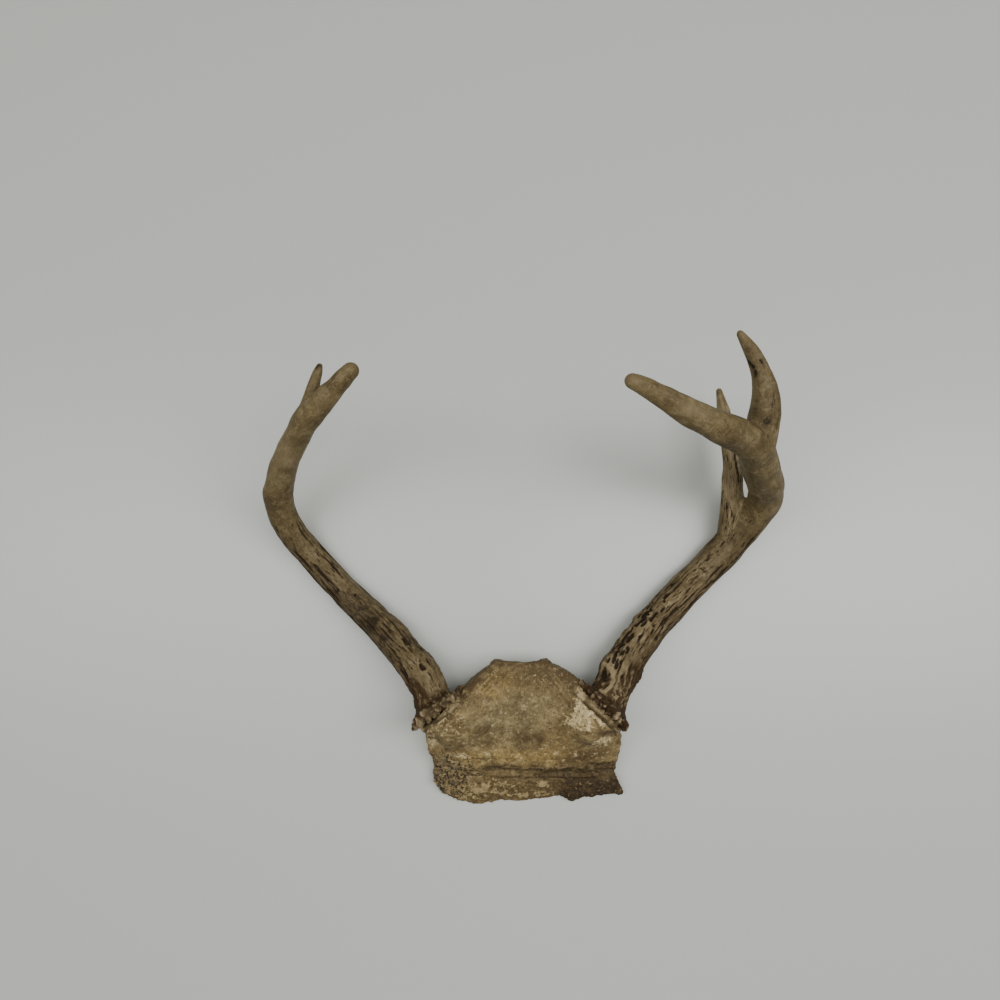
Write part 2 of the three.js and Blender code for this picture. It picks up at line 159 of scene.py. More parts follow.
# Raised pale ridges on the foot of the right beam: width, strength, then places.
FOOT_RIDGES = [
    (1.9, 1.0, [(43.6, 43.0, 28.0), (44.7, 41.6, 30.4), (46.0, 39.0, 32.8), (45.8, 36.0, 34.1),
                (43.9, 33.1, 35.1), (41.2, 30.9, 35.5), (38.8, 29.3, 35.6)]),
    (1.0, 0.75, [(51.8, 44.5, 31.4), (50.3, 40.0, 33.0), (48.5, 36.1, 34.3), (46.1, 31.2, 35.8)]),
    (0.8, 0.6, [(57.5, 39.8, 31.0), (55.6, 34.8, 31.9), (53.2, 29.3, 32.9), (50.3, 24.9, 34.5)]),
    (0.8, 0.6, [(54.2, 42.0, 32.1), (52.9, 38.0, 33.1), (51.6, 34.0, 34.1)]),
]

# Dark slots of the right beam: width, then places.
SLOTS = [
    (1.7, [(69.0, 72.3, 20.5), (65.0, 68.8, 21.0), (61.0, 64.2, 22.5)]),
    (1.3, [(72.0, 70.7, 22.8), (68.6, 66.7, 24.1)]),
    (1.6, [(57.8, 59.3, 25.0), (55.3, 55.9, 26.4)]),
    (1.5, [(56.2, 60.5, 21.8), (52.3, 56.0, 23.3)]),
    (1.3, [(53.3, 54.1, 26.8), (50.5, 52.2, 26.5)]),
    (1.5, [(49.1, 49.9, 27.4), (48.6, 47.9, 28.7)]),
    (1.2, [(76.3, 73.6, 22.2), (74.5, 71.5, 22.8)]),
    (1.1, [(75.8, 66.7, 23.6), (74.2, 64.3, 24.1)]),
    (0.9, [(68.4, 57.7, 26.5), (67.2, 55.7, 27.0)]),
    (1.6, [(42.1, 39.8, 30.3), (40.9, 36.2, 32.6)]),
    (1.0, [(57.0, 43.5, 31.5), (55.2, 40.5, 32.5)]),
    (1.1, [(104.3, 187.6, 92.8), (105.7, 182.6, 93.0)]),
    (0.8, [(108.3, 188.5, 95.4), (109.6, 187.0, 95.4)]),
]

# Skull plate stations, front to rear: y, left x, right x, mid height, left and right edge height.
PLATE_STATIONS = [
    (-32, -25, 54.6, 1.6, 1.5, 2.6),
    (-29, -37.2, 53.4, 3.8, 2.5, 3.4),
    (-25, -45, 51.8, 6.8, 3.6, 4.6),
    (-21, -48, 50.4, 9.8, 4.8, 5.8),
    (-18.5, -48.8, 51, 10.8, 5.6, 7),
    (-16.8, -48.8, 50.6, 9.4, 6, 7.2),
    (-15, -48.8, 50, 10.4, 6.6, 7.6),
    (-13, -48.6, 49.8, 14.6, 8.2, 9.2),
    (-10, -49.3, 50.6, 17.4, 9.6, 10.4),
    (-5, -51.5, 51.9, 20.8, 12, 12.5),
    (0.5, -52.2, 52.1, 23.9, 15.2, 16.2),
    (5.5, -52.6, 51.9, 26.2, 19, 20.5),
    (10, -53, 50.8, 28, 24.5, 26),
    (15, -47, 46, 29.8, 34, 34.5),
    (20, -42, 41.5, 31.4, 37, 37),
    (25, -37.5, 38.5, 33, 35, 34.5),
    (30, -33, 34, 34.2, 32.5, 33.5),
    (35, -28.3, 29.5, 35.2, 31.5, 32.5),
    (39.5, -22.3, 22.5, 36, 33, 34.5),
    (43, -18.6, 15.5, 36.6, 35.4, 35.8),
    (46.3, -16.2, 12.2, 36.6, 36.9, 36.9),
]
SHOULDER = 3.2
FRONT_SLANT = 0.075
FRONT_BITES = ((19.5, 4, 1.4), (27, 3.2, -1.4), (-12, 9, 0.7), (44, 6, 0.8))  # x, width, depth
REAR_DIP = 0.9
FLAKE = (41, -25, 13, 5, 2.4)  # x, y, reach x, reach y, height
TISSUE = (-41, -20, 8, 8, 1.8)
FIBRES = 170
FIBRE_PATCH = ((-40.5, -18.0), (5.5, 6.0))  # mm, middle and spread
PEDICLE_MOUNDS = ((36, 16), (-38, 15))
MOUND_HEIGHT = 9.5
MOUND_REACH = 15.0
BLEND_ROUNDS = 220
BRAINCASE = ((-2, 41, 0), (21, 32, 31))
ORBITS = (((57, -2, 0), (14, 12.5, 9)), ((-57, -2, 0), (14, 12.5, 9)))


# ------------------------------------------------------------------ noise
def smoothstep(low, high, value):
    t = np.clip((np.asarray(value, float) - low) / (high - low), 0, 1)
    return t * t * (3 - 2 * t)


def mix(a, b, t):
    return a + (b - a) * t


def lattice(cell, seed):
    """A repeatable random number from 0 to 1 for each whole-number cell (n, 3)."""
    c = cell.astype(np.int64).astype(np.uint64)
    h = c[:, 0] * np.uint64(0x9E3779B1) + c[:, 1] * np.uint64(0x85EBCA77)
    h = h + c[:, 2] * np.uint64(0xC2B2AE3D) + np.uint64(seed * 0x27D4EB2F)
    h ^= h >> np.uint64(15)
    h *= np.uint64(0x2C1B3C6D)
    h ^= h >> np.uint64(12)
    h *= np.uint64(0x297A2D39)
    h ^= h >> np.uint64(15)
    return (h & np.uint64(0xFFFFFF)).astype(float) / 0xFFFFFF


def value_noise(p, seed):
    base = np.floor(p)
    f = p - base
    f = f * f * (3 - 2 * f)
    total = np.zeros(len(p))
    for dx in (0, 1):
        for dy in (0, 1):
            for dz in (0, 1):
                weight = np.abs(1 - dx - f[:, 0]) * np.abs(1 - dy - f[:, 1]) * np.abs(1 - dz - f[:, 2])
                total += weight * lattice(base + (dx, dy, dz), seed)
    return total


def fbm(p, octaves, seed, gain=0.5):
    total = np.zeros(len(p))
    norm, amplitude = 0.0, 1.0
    for octave in range(octaves):
        total += amplitude * value_noise(p * 2.03**octave + 17.3 * octave, seed + octave)
        norm += amplitude
        amplitude *= gain
    return total / norm


def cells(p, seed):
    """Distances to the nearest and second nearest scattered point, and the nearest's number."""
    base = np.floor(p)
    first = np.full(len(p), 9.0)
    second = np.full(len(p), 9.0)
    number = np.zeros(len(p))
    for dx in (-1, 0, 1):
        for dy in (-1, 0, 1):
            for dz in (-1, 0, 1):
                cell = base + (dx, dy, dz)
                jitter = np.stack([lattice(cell, seed + k) for k in range(3)], 1)
                away = np.linalg.norm(cell + jitter - p, axis=1)
                nearer = away < first
                second = np.where(nearer, first, np.minimum(second, away))
                number = np.where(nearer, lattice(cell, seed + 7), number)
                first = np.minimum(first, away)
    return first, second, number


# ------------------------------------------------------------------ limbs
class Limb:
    """A centripetal Catmull-Rom centreline with its radius, sampled densely by length."""

    def __init__(self, points, samples=40):
        p = np.array(points, float)
        ends = np.vstack([2 * p[0] - p[1], p, 2 * p[-1] - p[-2]])
        rows = []
        for i in range(len(p) - 1):
            rows.extend(self._span(ends[i : i + 4], samples))
        rows.append(p[-1])
        rows = np.array(rows)
        index = np.concatenate([np.arange(len(rows) - 1) / samples, [len(p) - 1]])
        rows[:, 3] = np.interp(index, np.arange(len(p)), p[:, 3])
        steps = np.linalg.norm(np.diff(rows[:, :3], axis=0), axis=1)
        lengths = np.concatenate([[0], np.cumsum(steps)])
        self.length = lengths[-1]
        self.distance = np.linspace(0, self.length, max(8, int(self.length / 0.45)))
        self.centre = np.stack([np.interp(self.distance, lengths, rows[:, k]) for k in range(3)], 1)
        self.radius = np.interp(self.distance, lengths, rows[:, 3])
        self.tangent = np.gradient(self.centre, self.distance, axis=0)
        self.tangent /= np.linalg.norm(self.tangent, axis=1)[:, None]
        self.normal = np.zeros_like(self.centre)
        n = np.array([0, 0, 1.0])
        for i, t in enumerate(self.tangent):
            n = n - t * n.dot(t)
            n /= np.linalg.norm(n)
            self.normal[i] = n
        self.side = np.cross(self.tangent, self.normal)

    @staticmethod
    def _span(q, samples):
        knots = [0.0]
        for a, b in zip(q[:3], q[1:]):
            knots.append(knots[-1] + max(1e-6, np.linalg.norm((b - a)[:3]) ** 0.5))
        t0, t1, t2, t3 = knots
        for k in range(samples):
            u = t1 + (t2 - t1) * k / samples
            a1 = q[0] * (t1 - u) / (t1 - t0) + q[1] * (u - t0) / (t1 - t0)
            a2 = q[1] * (t2 - u) / (t2 - t1) + q[2] * (u - t1) / (t2 - t1)
            a3 = q[2] * (t3 - u) / (t3 - t2) + q[3] * (u - t2) / (t3 - t2)
            b1 = a1 * (t2 - u) / (t2 - t0) + a2 * (u - t0) / (t2 - t0)
            b2 = a2 * (t3 - u) / (t3 - t1) + a3 * (u - t1) / (t3 - t1)
            yield b1 * (t2 - u) / (t2 - t1) + b2 * (u - t1) / (t2 - t1)

    def at(self, distance, values):
        return np.stack([np.interp(distance, self.distance, values[:, k]) for k in range(3)], -1)

    def locate(self, p):
        """Distance along, angle round, distance from the line and radius at each point."""
        best = np.full(len(p), 1e9)
        nearest = np.zeros(len(p), int)
        for start in range(0, len(self.centre), 64):
            block = self.centre[start : start + 64]
            away = np.linalg.norm(p[:, None, :] - block[None, :, :], axis=2)
            low = away.argmin(1)
            value = away[np.arange(len(p)), low]
            better = value < best
            best = np.where(better, value, best)
            nearest = np.where(better, low + start, nearest)
        offset = p - self.centre[nearest]
        along = self.distance[nearest] + (offset * self.tangent[nearest]).sum(1)
        up = (offset * self.normal[nearest]).sum(1)
        across = (offset * self.side[nearest]).sum(1)
        return along, np.arctan2(across, up), best, self.radius[nearest]


# ------------------------------------------------------------------ meshes
def make_object(name, vertices, faces):
    mesh = bpy.data.meshes.new(name)
    mesh.from_pydata([tuple(v) for v in np.asarray(vertices) * MM], [], faces)
    mesh.update()
    thing = bpy.data.objects.new(name, mesh)
    bpy.context.collection.objects.link(thing)
    return thing


def tube(limb, radius_of=None, round_end=True):
    """Vertices and faces of a closed skin round a limb."""
    end = limb.radius[-1]
    stop = limb.length - (end if round_end else 0)
    rings = list(np.linspace(0, stop, max(3, int(stop / TUBE_STEP))))
    if round_end:
        rings += [stop + end * t for t in (0.3, 0.55, 0.75, 0.9, 0.98)]
    angles = np.arange(TUBE_SIDES) * 2 * np.pi / TUBE_SIDES
    vertices = []
    for distance in rings:
        centre = limb.at(distance, limb.centre)
        normal = limb.at(distance, limb.normal)
        side = limb.at(distance, limb.side)
        radius = np.interp(distance, limb.distance, limb.radius)
        if radius_of is not None:
            radius = radius_of(distance, radius)
        past = max(0.0, (distance - stop) / end) if round_end else 0.0
        radius *= math.sqrt(max(0.0, 1 - past * past))
        circle = np.cos(angles)[:, None] * normal + np.sin(angles)[:, None] * side
        vertices.append(centre + circle * radius)
    vertices = list(np.vstack(vertices))
    faces = []
    for ring in range(len(rings) - 1):
        for k in range(TUBE_SIDES):
            a = ring * TUBE_SIDES + k
            b = ring * TUBE_SIDES + (k + 1) % TUBE_SIDES
            faces.append((a, b, b + TUBE_SIDES, a + TUBE_SIDES))
    faces.append(tuple(reversed(range(TUBE_SIDES))))
    last = (len(rings) - 1) * TUBE_SIDES
    faces.append(tuple(range(last, last + TUBE_SIDES)))
    return vertices, faces


def join(parts):
    vertices, faces = [], []
    for part_vertices, part_faces in parts:
        base = len(vertices)
        vertices.extend(part_vertices)
        faces.extend(tuple(i + base for i in face) for face in part_faces)
    return vertices, faces


def bake(thing, *modifiers):
    """Adds modifiers as (type, {setting: value}), applies them and keeps only the result."""
    for kind, settings in modifiers:
        modifier = thing.modifiers.new(kind.lower(), kind)
        for key, value in settings.items():
            setattr(modifier, key, value)
    evaluated = thing.evaluated_get(bpy.context.evaluated_depsgraph_get())
    result = bpy.data.meshes.new_from_object(evaluated)
    old = thing.data
    thing.modifiers.clear()
    thing.data = result
    result.name = thing.name
    bpy.data.meshes.remove(old)


def remesh(thing, voxel, smoothing):
    remesher = ("REMESH", {"mode": "VOXEL", "voxel_size": voxel * MM, "use_smooth_shade": True})
    bake(thing, remesher, ("SMOOTH", {"factor": 0.5, "iterations": smoothing}))


def points_of(thing):
    flat = np.empty(len(thing.data.vertices) * 3)
    thing.data.vertices.foreach_get("co", flat)
    return flat.reshape(-1, 3) / MM


def normals_of(thing):
    flat = np.empty(len(thing.data.vertices) * 3)
    thing.data.vertices.foreach_get("normal", flat)
    return flat.reshape(-1, 3)


def put_points(thing, points):
    thing.data.vertices.foreach_set("co", (points * MM).ravel())
    thing.data.update()
    thing.data.shade_smooth()


def smooth_where(thing, weights, iterations):
    group = thing.vertex_groups.new(name="blend")
    for i in np.nonzero(weights > 0.02)[0]:
        group.add([int(i)], float(weights[i]), "REPLACE")
    bake(thing, ("SMOOTH", {"factor": 0.5, "iterations": iterations, "vertex_group": "blend"}))
    thing.vertex_groups.clear()


def store(thing, **fields):
    """Keeps a number or a vector for each vertex, for the materials to read."""
    for name, values in fields.items():
        values = np.asarray(values, float)
        if values.ndim == 1:
            layer = thing.data.attributes.new(name, "FLOAT", "POINT")
            layer.data.foreach_set("value", values)
        else:
            layer = thing.data.attributes.new(name, "FLOAT_VECTOR", "POINT")
            layer.data.foreach_set("vector", values.ravel())


# ------------------------------------------------------------------ antlers
def burr_radius(distance, radius):
    """The foot of a beam flares out into the burr."""
    rise = smoothstep(-2.4, 1.2, distance)
    fall = 1 - smoothstep(3.2, BURR_LENGTH + 2, distance)
    return float(radius + BURR_FLARE * rise * fall)


def nearest_limb(points, limbs):
    """For each point, where it lies on the limb whose skin is closest."""
    places = [limb.locate(points) for limb in limbs]
    depth = np.stack([away - radius for _, _, away, radius in places])
    chosen = depth.argmin(0)
    rows = np.arange(len(points))
    picked = [np.stack([place[k] for place in places])[chosen, rows] for k in range(4)]
    ordered = np.sort(depth, axis=0)
    gap = ordered[1] - ordered[0] if len(limbs) > 1 else np.full(len(points), 99.0)
    return (*picked, chosen, gap)


def hairline(points, line, width=0.45):
    """How close each point lies to a crack drawn as a row of places."""
    closest = np.full(len(points), 99.0)
    for start, end in zip(line, line[1:]):
        start, step = np.array(start, float), np.subtract(end, start)
        t = np.clip(((points - start) @ step) / (step @ step), 0, 1)
        away = np.linalg.norm(points - start - t[:, None] * step, axis=1)
        closest = np.minimum(closest, away)
    return np.clip(1 - closest / width, 0, 1)


def grow_antler(name, beam_points, tines, seed, inner, pits, paleness, voxel):
    """One closed skin over a beam and its tines, carved as the antler weathered.

    tines holds (points, pitting, paleness) rows. inner points across the beam to the
    middle of the rack, where the pits are largest; pits is their share of the skin."""
    beam = Limb(beam_points)
    limbs = [beam] + [Limb(points) for points, _, _ in tines]
    parts = [tube(beam, burr_radius)] + [tube(limb) for limb in limbs[1:]]
    thing = make_object(name, *join(parts))
    remesh(thing, voxel, 2)
    points = points_of(thing)
    gap = nearest_limb(points, limbs)[-1]
    smooth_where(thing, 1 - smoothstep(1.5, 5.0, gap), 24)

    points = points_of(thing)
    normals = normals_of(thing)
    along, angle, _, radius, chosen, gap = nearest_limb(points, limbs)
    on_beam = (chosen == 0).astype(float)
    circle = np.stack([np.cos(angle), np.sin(angle)], 1) * radius[:, None]
    grain = np.column_stack([circle, along + 40 * chosen])
    inward = normals @ (np.array(inner) / np.linalg.norm(inner))

    # zones along the beam: burr ring, dark foot, pitted lower part, streaked middle
    ring = on_beam * smoothstep(-2, 0.2, along) * (1 - smoothstep(3.6, 5.6, along))
    outward = np.clip(-inward, 0, 1)
    reach = (14 + 16 * smoothstep(-0.2, 0.4, -inward)) * (0.5 + 0.5 * pits)
    foot = on_beam * (1 - smoothstep(0.55 * reach, 1.5 * reach, along))
    pitted = on_beam * smoothstep(8, 15, along) * (1 - smoothstep(54, 88, along))
    streaked = on_beam * smoothstep(4 + 8 * pits, 12 + 22 * pits, along) * (1 - smoothstep(108, 160, along))
    lower = paleness * on_beam * (1 - smoothstep(70, 150, along))
    for i, (_, tine_pitting, tine_paleness) in enumerate(tines):
        fade = 1 - smoothstep(0.5, 0.95, along / limbs[i + 1].length)
        streaked = np.where(chosen == i + 1, tine_pitting * fade, streaked)
        lower = np.where(chosen == i + 1, tine_paleness, lower)

    warp = (np.stack([fbm(points / 3.2, 2, seed + 20 + k) for k in range(3)], 1) - 0.5) * 2
    patch = fbm(points / 12.0, 2, seed)
    # ovals between a net of ridges, crowded on the inner side
    oval, oval_next, oval_number = cells(grain / (2.2, 2.2, 5.2) + warp * (0.42, 0.42, 0.25), seed + 3)
    oval_share = pits * pitted * np.clip(1.9 * inward + 0.9 * (patch - 0.5), 0.07, 0.95)
    ovals = smoothstep(0.03, 0.22, oval_next - oval) * smoothstep(0.60, 0.40, oval)
    ovals *= oval_number < oval_share
    # thin lenses and long furrows
    lens, _, lens_number = cells(grain / (1.15, 1.15, 6.5) + warp * (0.32, 0.32, 0.12), seed + 5)
    lens_share = streaked * np.clip(0.30 + 1.3 * (patch - 0.5) - 0.35 * inward, 0, 0.75)
    lenses = smoothstep(0.44, 0.28, lens) * (lens_number < lens_share)
    long_noise = fbm(grain / (1.2, 1.2, 13.0) + warp * (0.3, 0.3, 0.1), 2, seed + 7, 0.4)
    furrow_zone = streaked * (0.45 + 1.2 * (patch - 0.5)) + 0.9 * streaked * outward
    furrow_zone = np.clip(furrow_zone, 0, 1)
    furrows = smoothstep(0.70 - 0.15 * furrow_zone, 0.77 - 0.15 * furrow_zone, long_noise)
    furrows *= smoothstep(0.05, 0.3, furrow_zone)
    # roots of the beam: light winding ridges out of a dark stained foot
    root_noise = fbm(grain / (2.3, 2.3, 12.0) + warp * 0.35, 2, seed + 9, 0.35)
    roots = 1 - smoothstep(0.008, 0.026, np.abs(root_noise - 0.5))
    roots *= on_beam * smoothstep(5, 9, along) * (1 - smoothstep(24, 42, along)) * smoothstep(0.5, 0.2, ovals)
    roots *= 0.6
    wavy = points + 1.1 * warp + 0.8 * (fbm(points / 1.5, 2, seed + 33) - 0.5)[:, None]
    for width, strength, line in FOOT_RIDGES:
        drawn = strength * smoothstep(0.05, 0.6, hairline(wavy, line, width))
        roots = np.maximum(roots, drawn)
    slots = np.zeros(len(points))
    for width, line in SLOTS:
        slots = np.maximum(slots, smoothstep(0.1, 0.55, hairline(points + 0.5 * warp, line, width)))
    ovals = np.maximum(ovals * (1 - 0.7 * roots), slots)
    squeezed = points - beam.tangent[0] * (0.4 * along)[:, None]
    bead, _, bead_number = cells(squeezed / 2.5 + warp * 0.45, seed + 11)
    bead = np.sqrt(np.clip(1 - (bead / (0.45 + 0.3 * bead_number)) ** 2, 0, 1))
    grains, _, grain_number = cells(squeezed / 1.5 + warp * 0.3, seed + 41)
    grains = np.sqrt(np.clip(1 - (grains / 0.6) ** 2, 0, 1)) * (grain_number > 0.4)
    pearl, _, pearl_number = cells(squeezed / 2.0 + warp * 0.3, seed + 13)
    pearl = np.sqrt(np.clip(1 - (pearl / 0.52) ** 2, 0, 1)) * (pearl_number > 0.82)
    pearl *= on_beam * smoothstep(4, 6, along) * (1 - smoothstep(9, 18, along))
    wander = 0.5 * np.sin(along / 19) + 0.3 * np.sin(along / 7.3)
    ridge = 0.5 - 0.5 * np.cos(RIDGES * angle + wander)
    ridge_zone = on_beam * smoothstep(6, 14, along) * (1 - smoothstep(60, 150, along))

    lump = (fbm(points / 11.0, 2, seed + 12) - 0.5) * 2
    bump = (fbm(points / 4.2, 2, seed + 14) - 0.5) * 2
    flute = fbm(grain / (2.6, 2.6, 34.0), 2, seed + 15) - 0.5
    cut = 0.95 * ovals + 0.30 * lenses * (1 - ovals) + 0.45 * furrows * (1 - ovals)
    detail = (0.8 * roots - 0.45 * foot + 0.7 * pearl - cut) * (1 - ring)
    detail += ring * (2.3 * bead * (0.45 + 0.7 * bead_number) + 0.6 * grains - 1.5)
    detail += ring * 1.3 * (fbm(points / 1.3, 2, seed + 44) - 0.5)
    worked = np.clip(np.maximum(lower, streaked), 0.15, 1)
    lift = 0.75 * lump - 0.5 * ridge * ridge_zone + detail + 0.5 * flute * (1 - ring) * worked
    lift += (0.12 + 0.6 * pitted * np.clip(0.3 + 0.8 * inward, 0, 1) + 0.9 * ring) * bump
    lift += 0.35 * on_beam * (1 - smoothstep(90, 140, along)) * (1 - ring)
    for x, y, z, reach, height in KNOBS:
        away = np.linalg.norm(points - (x, y, z), axis=1) / reach
        lift += height * np.exp(-away * away)
    tip_calm = smoothstep(0, 14, beam.length - along)
    for i, limb in enumerate(limbs[1:]):
        tip_calm = np.where(chosen == i + 1, smoothstep(0, 12, limb.length - along), tip_calm)
    lift *= mix(0.35, 1.0, tip_calm)
    crack = hairline(points, CRACK, 0.75)
    lift -= 0.4 * crack
    carved = points + normals * lift[:, None]
    carved[:, 2] = np.maximum(carved[:, 2], 0.0)
    put_points(thing, carved)

    blotch = fbm(points / 5.0, 3, seed + 30)
    dirt = np.maximum(np.maximum(0.95 * ovals, 0.8 * lenses), 0.8 * furrows) * (1 - 0.8 * ring)
    dirt = np.maximum(dirt * (1 - 0.7 * roots), 0.9 * crack)
    soil = np.clip(foot * (1.6 + 1.6 * (blotch - 0.45)), 0, 1) * (1 - 0.5 * ring * (1 - pits))
    soil = np.maximum(soil, 0.5 * pits * pitted * smoothstep(0.48, 0.62, blotch - 0.12 * inward))
    bead_top = ring * smoothstep(0.35, 0.9, bead) * smoothstep(0.6 * pits - 0.2, 0.9, bead_number)
    bead_top = np.maximum(bead_top, 0.6 * pearl * (pearl_number > 0.93))
    crest = np.clip(roots + 0.4 * pearl, 0, 1)
    mark = np.zeros(len(points))
    for x, y, z, reach, amount in MARKS:
        away = np.linalg.norm(points + 1.5 * warp - (x, y, z), axis=1) / reach
        mark += amount * np.exp(-away * away)
    store(
        thing,
        grain=grain * MM,
        dirt=dirt,
        soil=np.maximum(soil * (1 - 0.85 * crest), ring * (1 - 0.9 * bead_top) * (0.5 + 0.5 * pits)),
        bead_top=bead_top,
        crest=crest * (1 - ring),
        lower=lower,
        worked=worked,
        streaked=np.clip(streaked + 0.5 * pitted, 0, 1),
        # painted shade: the outer flank of each beam, facing away from the rack's middle, is darkened
        outer=on_beam * outward * (1 - smoothstep(90, 160, along)),
        # painted shade: the last few millimetres of each beam and tine are darkened a little
        tip=1 - tip_calm,
        # dark marks: stains, and painted shade on the right beam's outer edge
        stain=np.clip(mark, 0, 1),
        # pale marks: wear, and painted light on the lower right tine
        worn=np.clip(-mark, 0, 1),
    )
    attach(thing, "root")
    return thing, beam


right_antler, right_limb = grow_antler(
    "right_antler",
    RIGHT_BEAM,
    [(RIGHT_UPPER_TINE, 0.2, 0.1), (RIGHT_LOWER_TINE, 0.85, 1.0)],
    seed=11,
    inner=(-1, 0.85, 0),
    pits=1.0,
    paleness=1.0,
    voxel=RIGHT_VOXEL,
)
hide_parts("right_beam", "right_beam_tip", "right_upper_tine", "right_lower_tine")
left_antler, left_limb = grow_antler(
    "left_antler",
    LEFT_BEAM,
    [(LEFT_UPPER_TINE, 0.2, 0.0)],
    seed=47,
    inner=(1, 0.8, 0),
    pits=0.30,
    paleness=0.55,
    voxel=LEFT_VOXEL,
)
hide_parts("left_beam", "left_beam_tip", "left_upper_tine")


# ------------------------------------------------------------------ skull plate
def hump(x, y, form):
    cx, cy, reach_x, reach_y, height = form
    return height * np.exp(-((x - cx) / reach_x) ** 2 - ((y - cy) / reach_y) ** 2)


def plate_solid(columns=120, rows=150):
    """The lofted block between brow and sawn base, before any hollow is cut."""
    stations = np.array(PLATE_STATIONS, float)
    place = np.linspace(0, len(stations) - 1, rows)
    station = np.stack([np.interp(place, np.arange(len(stations)), stations[:, k]) for k in range(6)], 1)
    across = np.linspace(-1, 1, columns)[None, :]
    y0, left, right, middle, left_edge, right_edge = (station[:, k][:, None] for k in range(6))
    share = np.abs(across)
    x = mix(left, right, 0.5 + 0.5 * across)
    at_front = smoothstep(5, 0, place)[:, None]
    at_rear = smoothstep(len(stations) - 4, len(stations) - 1, place)[:, None]
    y = y0 + at_front * FRONT_SLANT * x - at_rear * REAR_DIP * (1 - across**2)
    for bite_x, width, depth in FRONT_BITES:
        y = y + at_front * depth * np.exp(-(((x - bite_x) / width) ** 2))
    z = mix(middle, np.where(across < 0, left_edge, right_edge), share**SHOULDER)
    z = z + hump(x, y, FLAKE) + hump(x, y, TISSUE) * (1 - share**8)
    for mx, my in PEDICLE_MOUNDS:
        away = np.hypot(x - mx, y - my) / MOUND_REACH
        z = z + MOUND_HEIGHT * np.exp(-away * away) * (1 - share**6)
    top = np.stack([x, y, np.maximum(z, 1.0)], 2).reshape(-1, 3)
    base = top * (0.988, 0.988, 0)
    faces = []
    count = rows * columns
    for row in range(rows - 1):
        for k in range(columns - 1):
            a = row * columns + k
            faces.append((a, a + 1, a + columns + 1, a + columns))
            faces.append((a + count, a + columns + count, a + columns + 1 + count, a + 1 + count))
    loop = [k for k in range(columns - 1)]
    loop += [row * columns + columns - 1 for row in range(rows - 1)]
    loop += [(rows - 1) * columns + k for k in range(columns - 1, 0, -1)]
    loop += [row * columns for row in range(rows - 1, 0, -1)]
    for a, b in zip(loop, loop[1:] + loop[:1]):
        faces.append((b, a, a + count, b + count))
    return list(np.vstack([top, base])), faces


def ball(centre, radii, rows=40, columns=64):
    vertices = [(0, 0, 1)]
    for i in range(1, rows):
        polar = math.pi * i / rows
        for k in range(columns):
            turn = 2 * math.pi * k / columns
            ring = math.sin(polar)
            vertices.append((ring * math.cos(turn), ring * math.sin(turn), math.cos(polar)))
    vertices.append((0, 0, -1))
    faces = []
    last = len(vertices) - 1
    for k in range(columns):
        n = (k + 1) % columns
        faces.append((0, 1 + k, 1 + n))
        for i in range(rows - 2):
            a = 1 + i * columns
            faces.append((a + k, a + columns + k, a + columns + n, a + n))
        a = 1 + (rows - 2) * columns
        faces.append((a + k, last, a + n))
    return np.array(vertices) * radii + centre, faces


def pedicle_limb(limb, collar_radius):
    foot, along = limb.centre[0], limb.tangent[0]
    root = foot - along * PEDICLE_LENGTH - (0, 0, PEDICLE_DIP)
    middle = foot - along * PEDICLE_LENGTH / 2 - (0, 0, PEDICLE_DIP / 4)
    top = foot + along * 0.1
    return Limb([
        (*root, PEDICLE_ROOT_RADIUS),
        (*middle, collar_radius * PEDICLE_WAIST),
        (*top, collar_radius),
    ])


collars = ((right_limb, COLLAR_RADIUS["right"]), (left_limb, COLLAR_RADIUS["left"]))


def cut_away(thing, cutter):
    bake(thing, ("BOOLEAN", {"operation": "DIFFERENCE", "object": cutter, "solver": "EXACT"}))
    old = cutter.data
    bpy.data.objects.remove(cutter)
    bpy.data.meshes.remove(old)


def spot(x, y, cx, cy, rx, ry):
    return np.exp(-(((x - cx) / rx) ** 2) - ((y - cy) / ry) ** 2)


def collar_distance(points):
    """How far behind its burr each point near a pedicle lies."""
    behind = np.full(len(points), 99.0)
    for limb, collar_radius in collars:
        back = -((points - limb.centre[0]) * limb.tangent[0]).sum(1)
        off = np.linalg.norm(np.cross(points - limb.centre[0], limb.tangent[0]), axis=1)
        behind = np.where(off < collar_radius + 3, np.minimum(behind, np.abs(back)), behind)
    return behind


def blend_pedicles(thing):
    """Lets the brow run smoothly up into both pedicles."""
    points = points_of(thing)
    away = np.full(len(points), 99.0)
    for mx, my in PEDICLE_MOUNDS:
        away = np.minimum(away, np.hypot(points[:, 0] - 0.94 * mx, points[:, 1] - my + 4))
    weights = (1 - smoothstep(9, 17, away)) * smoothstep(3.5, 8, collar_distance(points))
    smooth_where(thing, weights * smoothstep(9, 15, points[:, 2]), BLEND_ROUNDS)


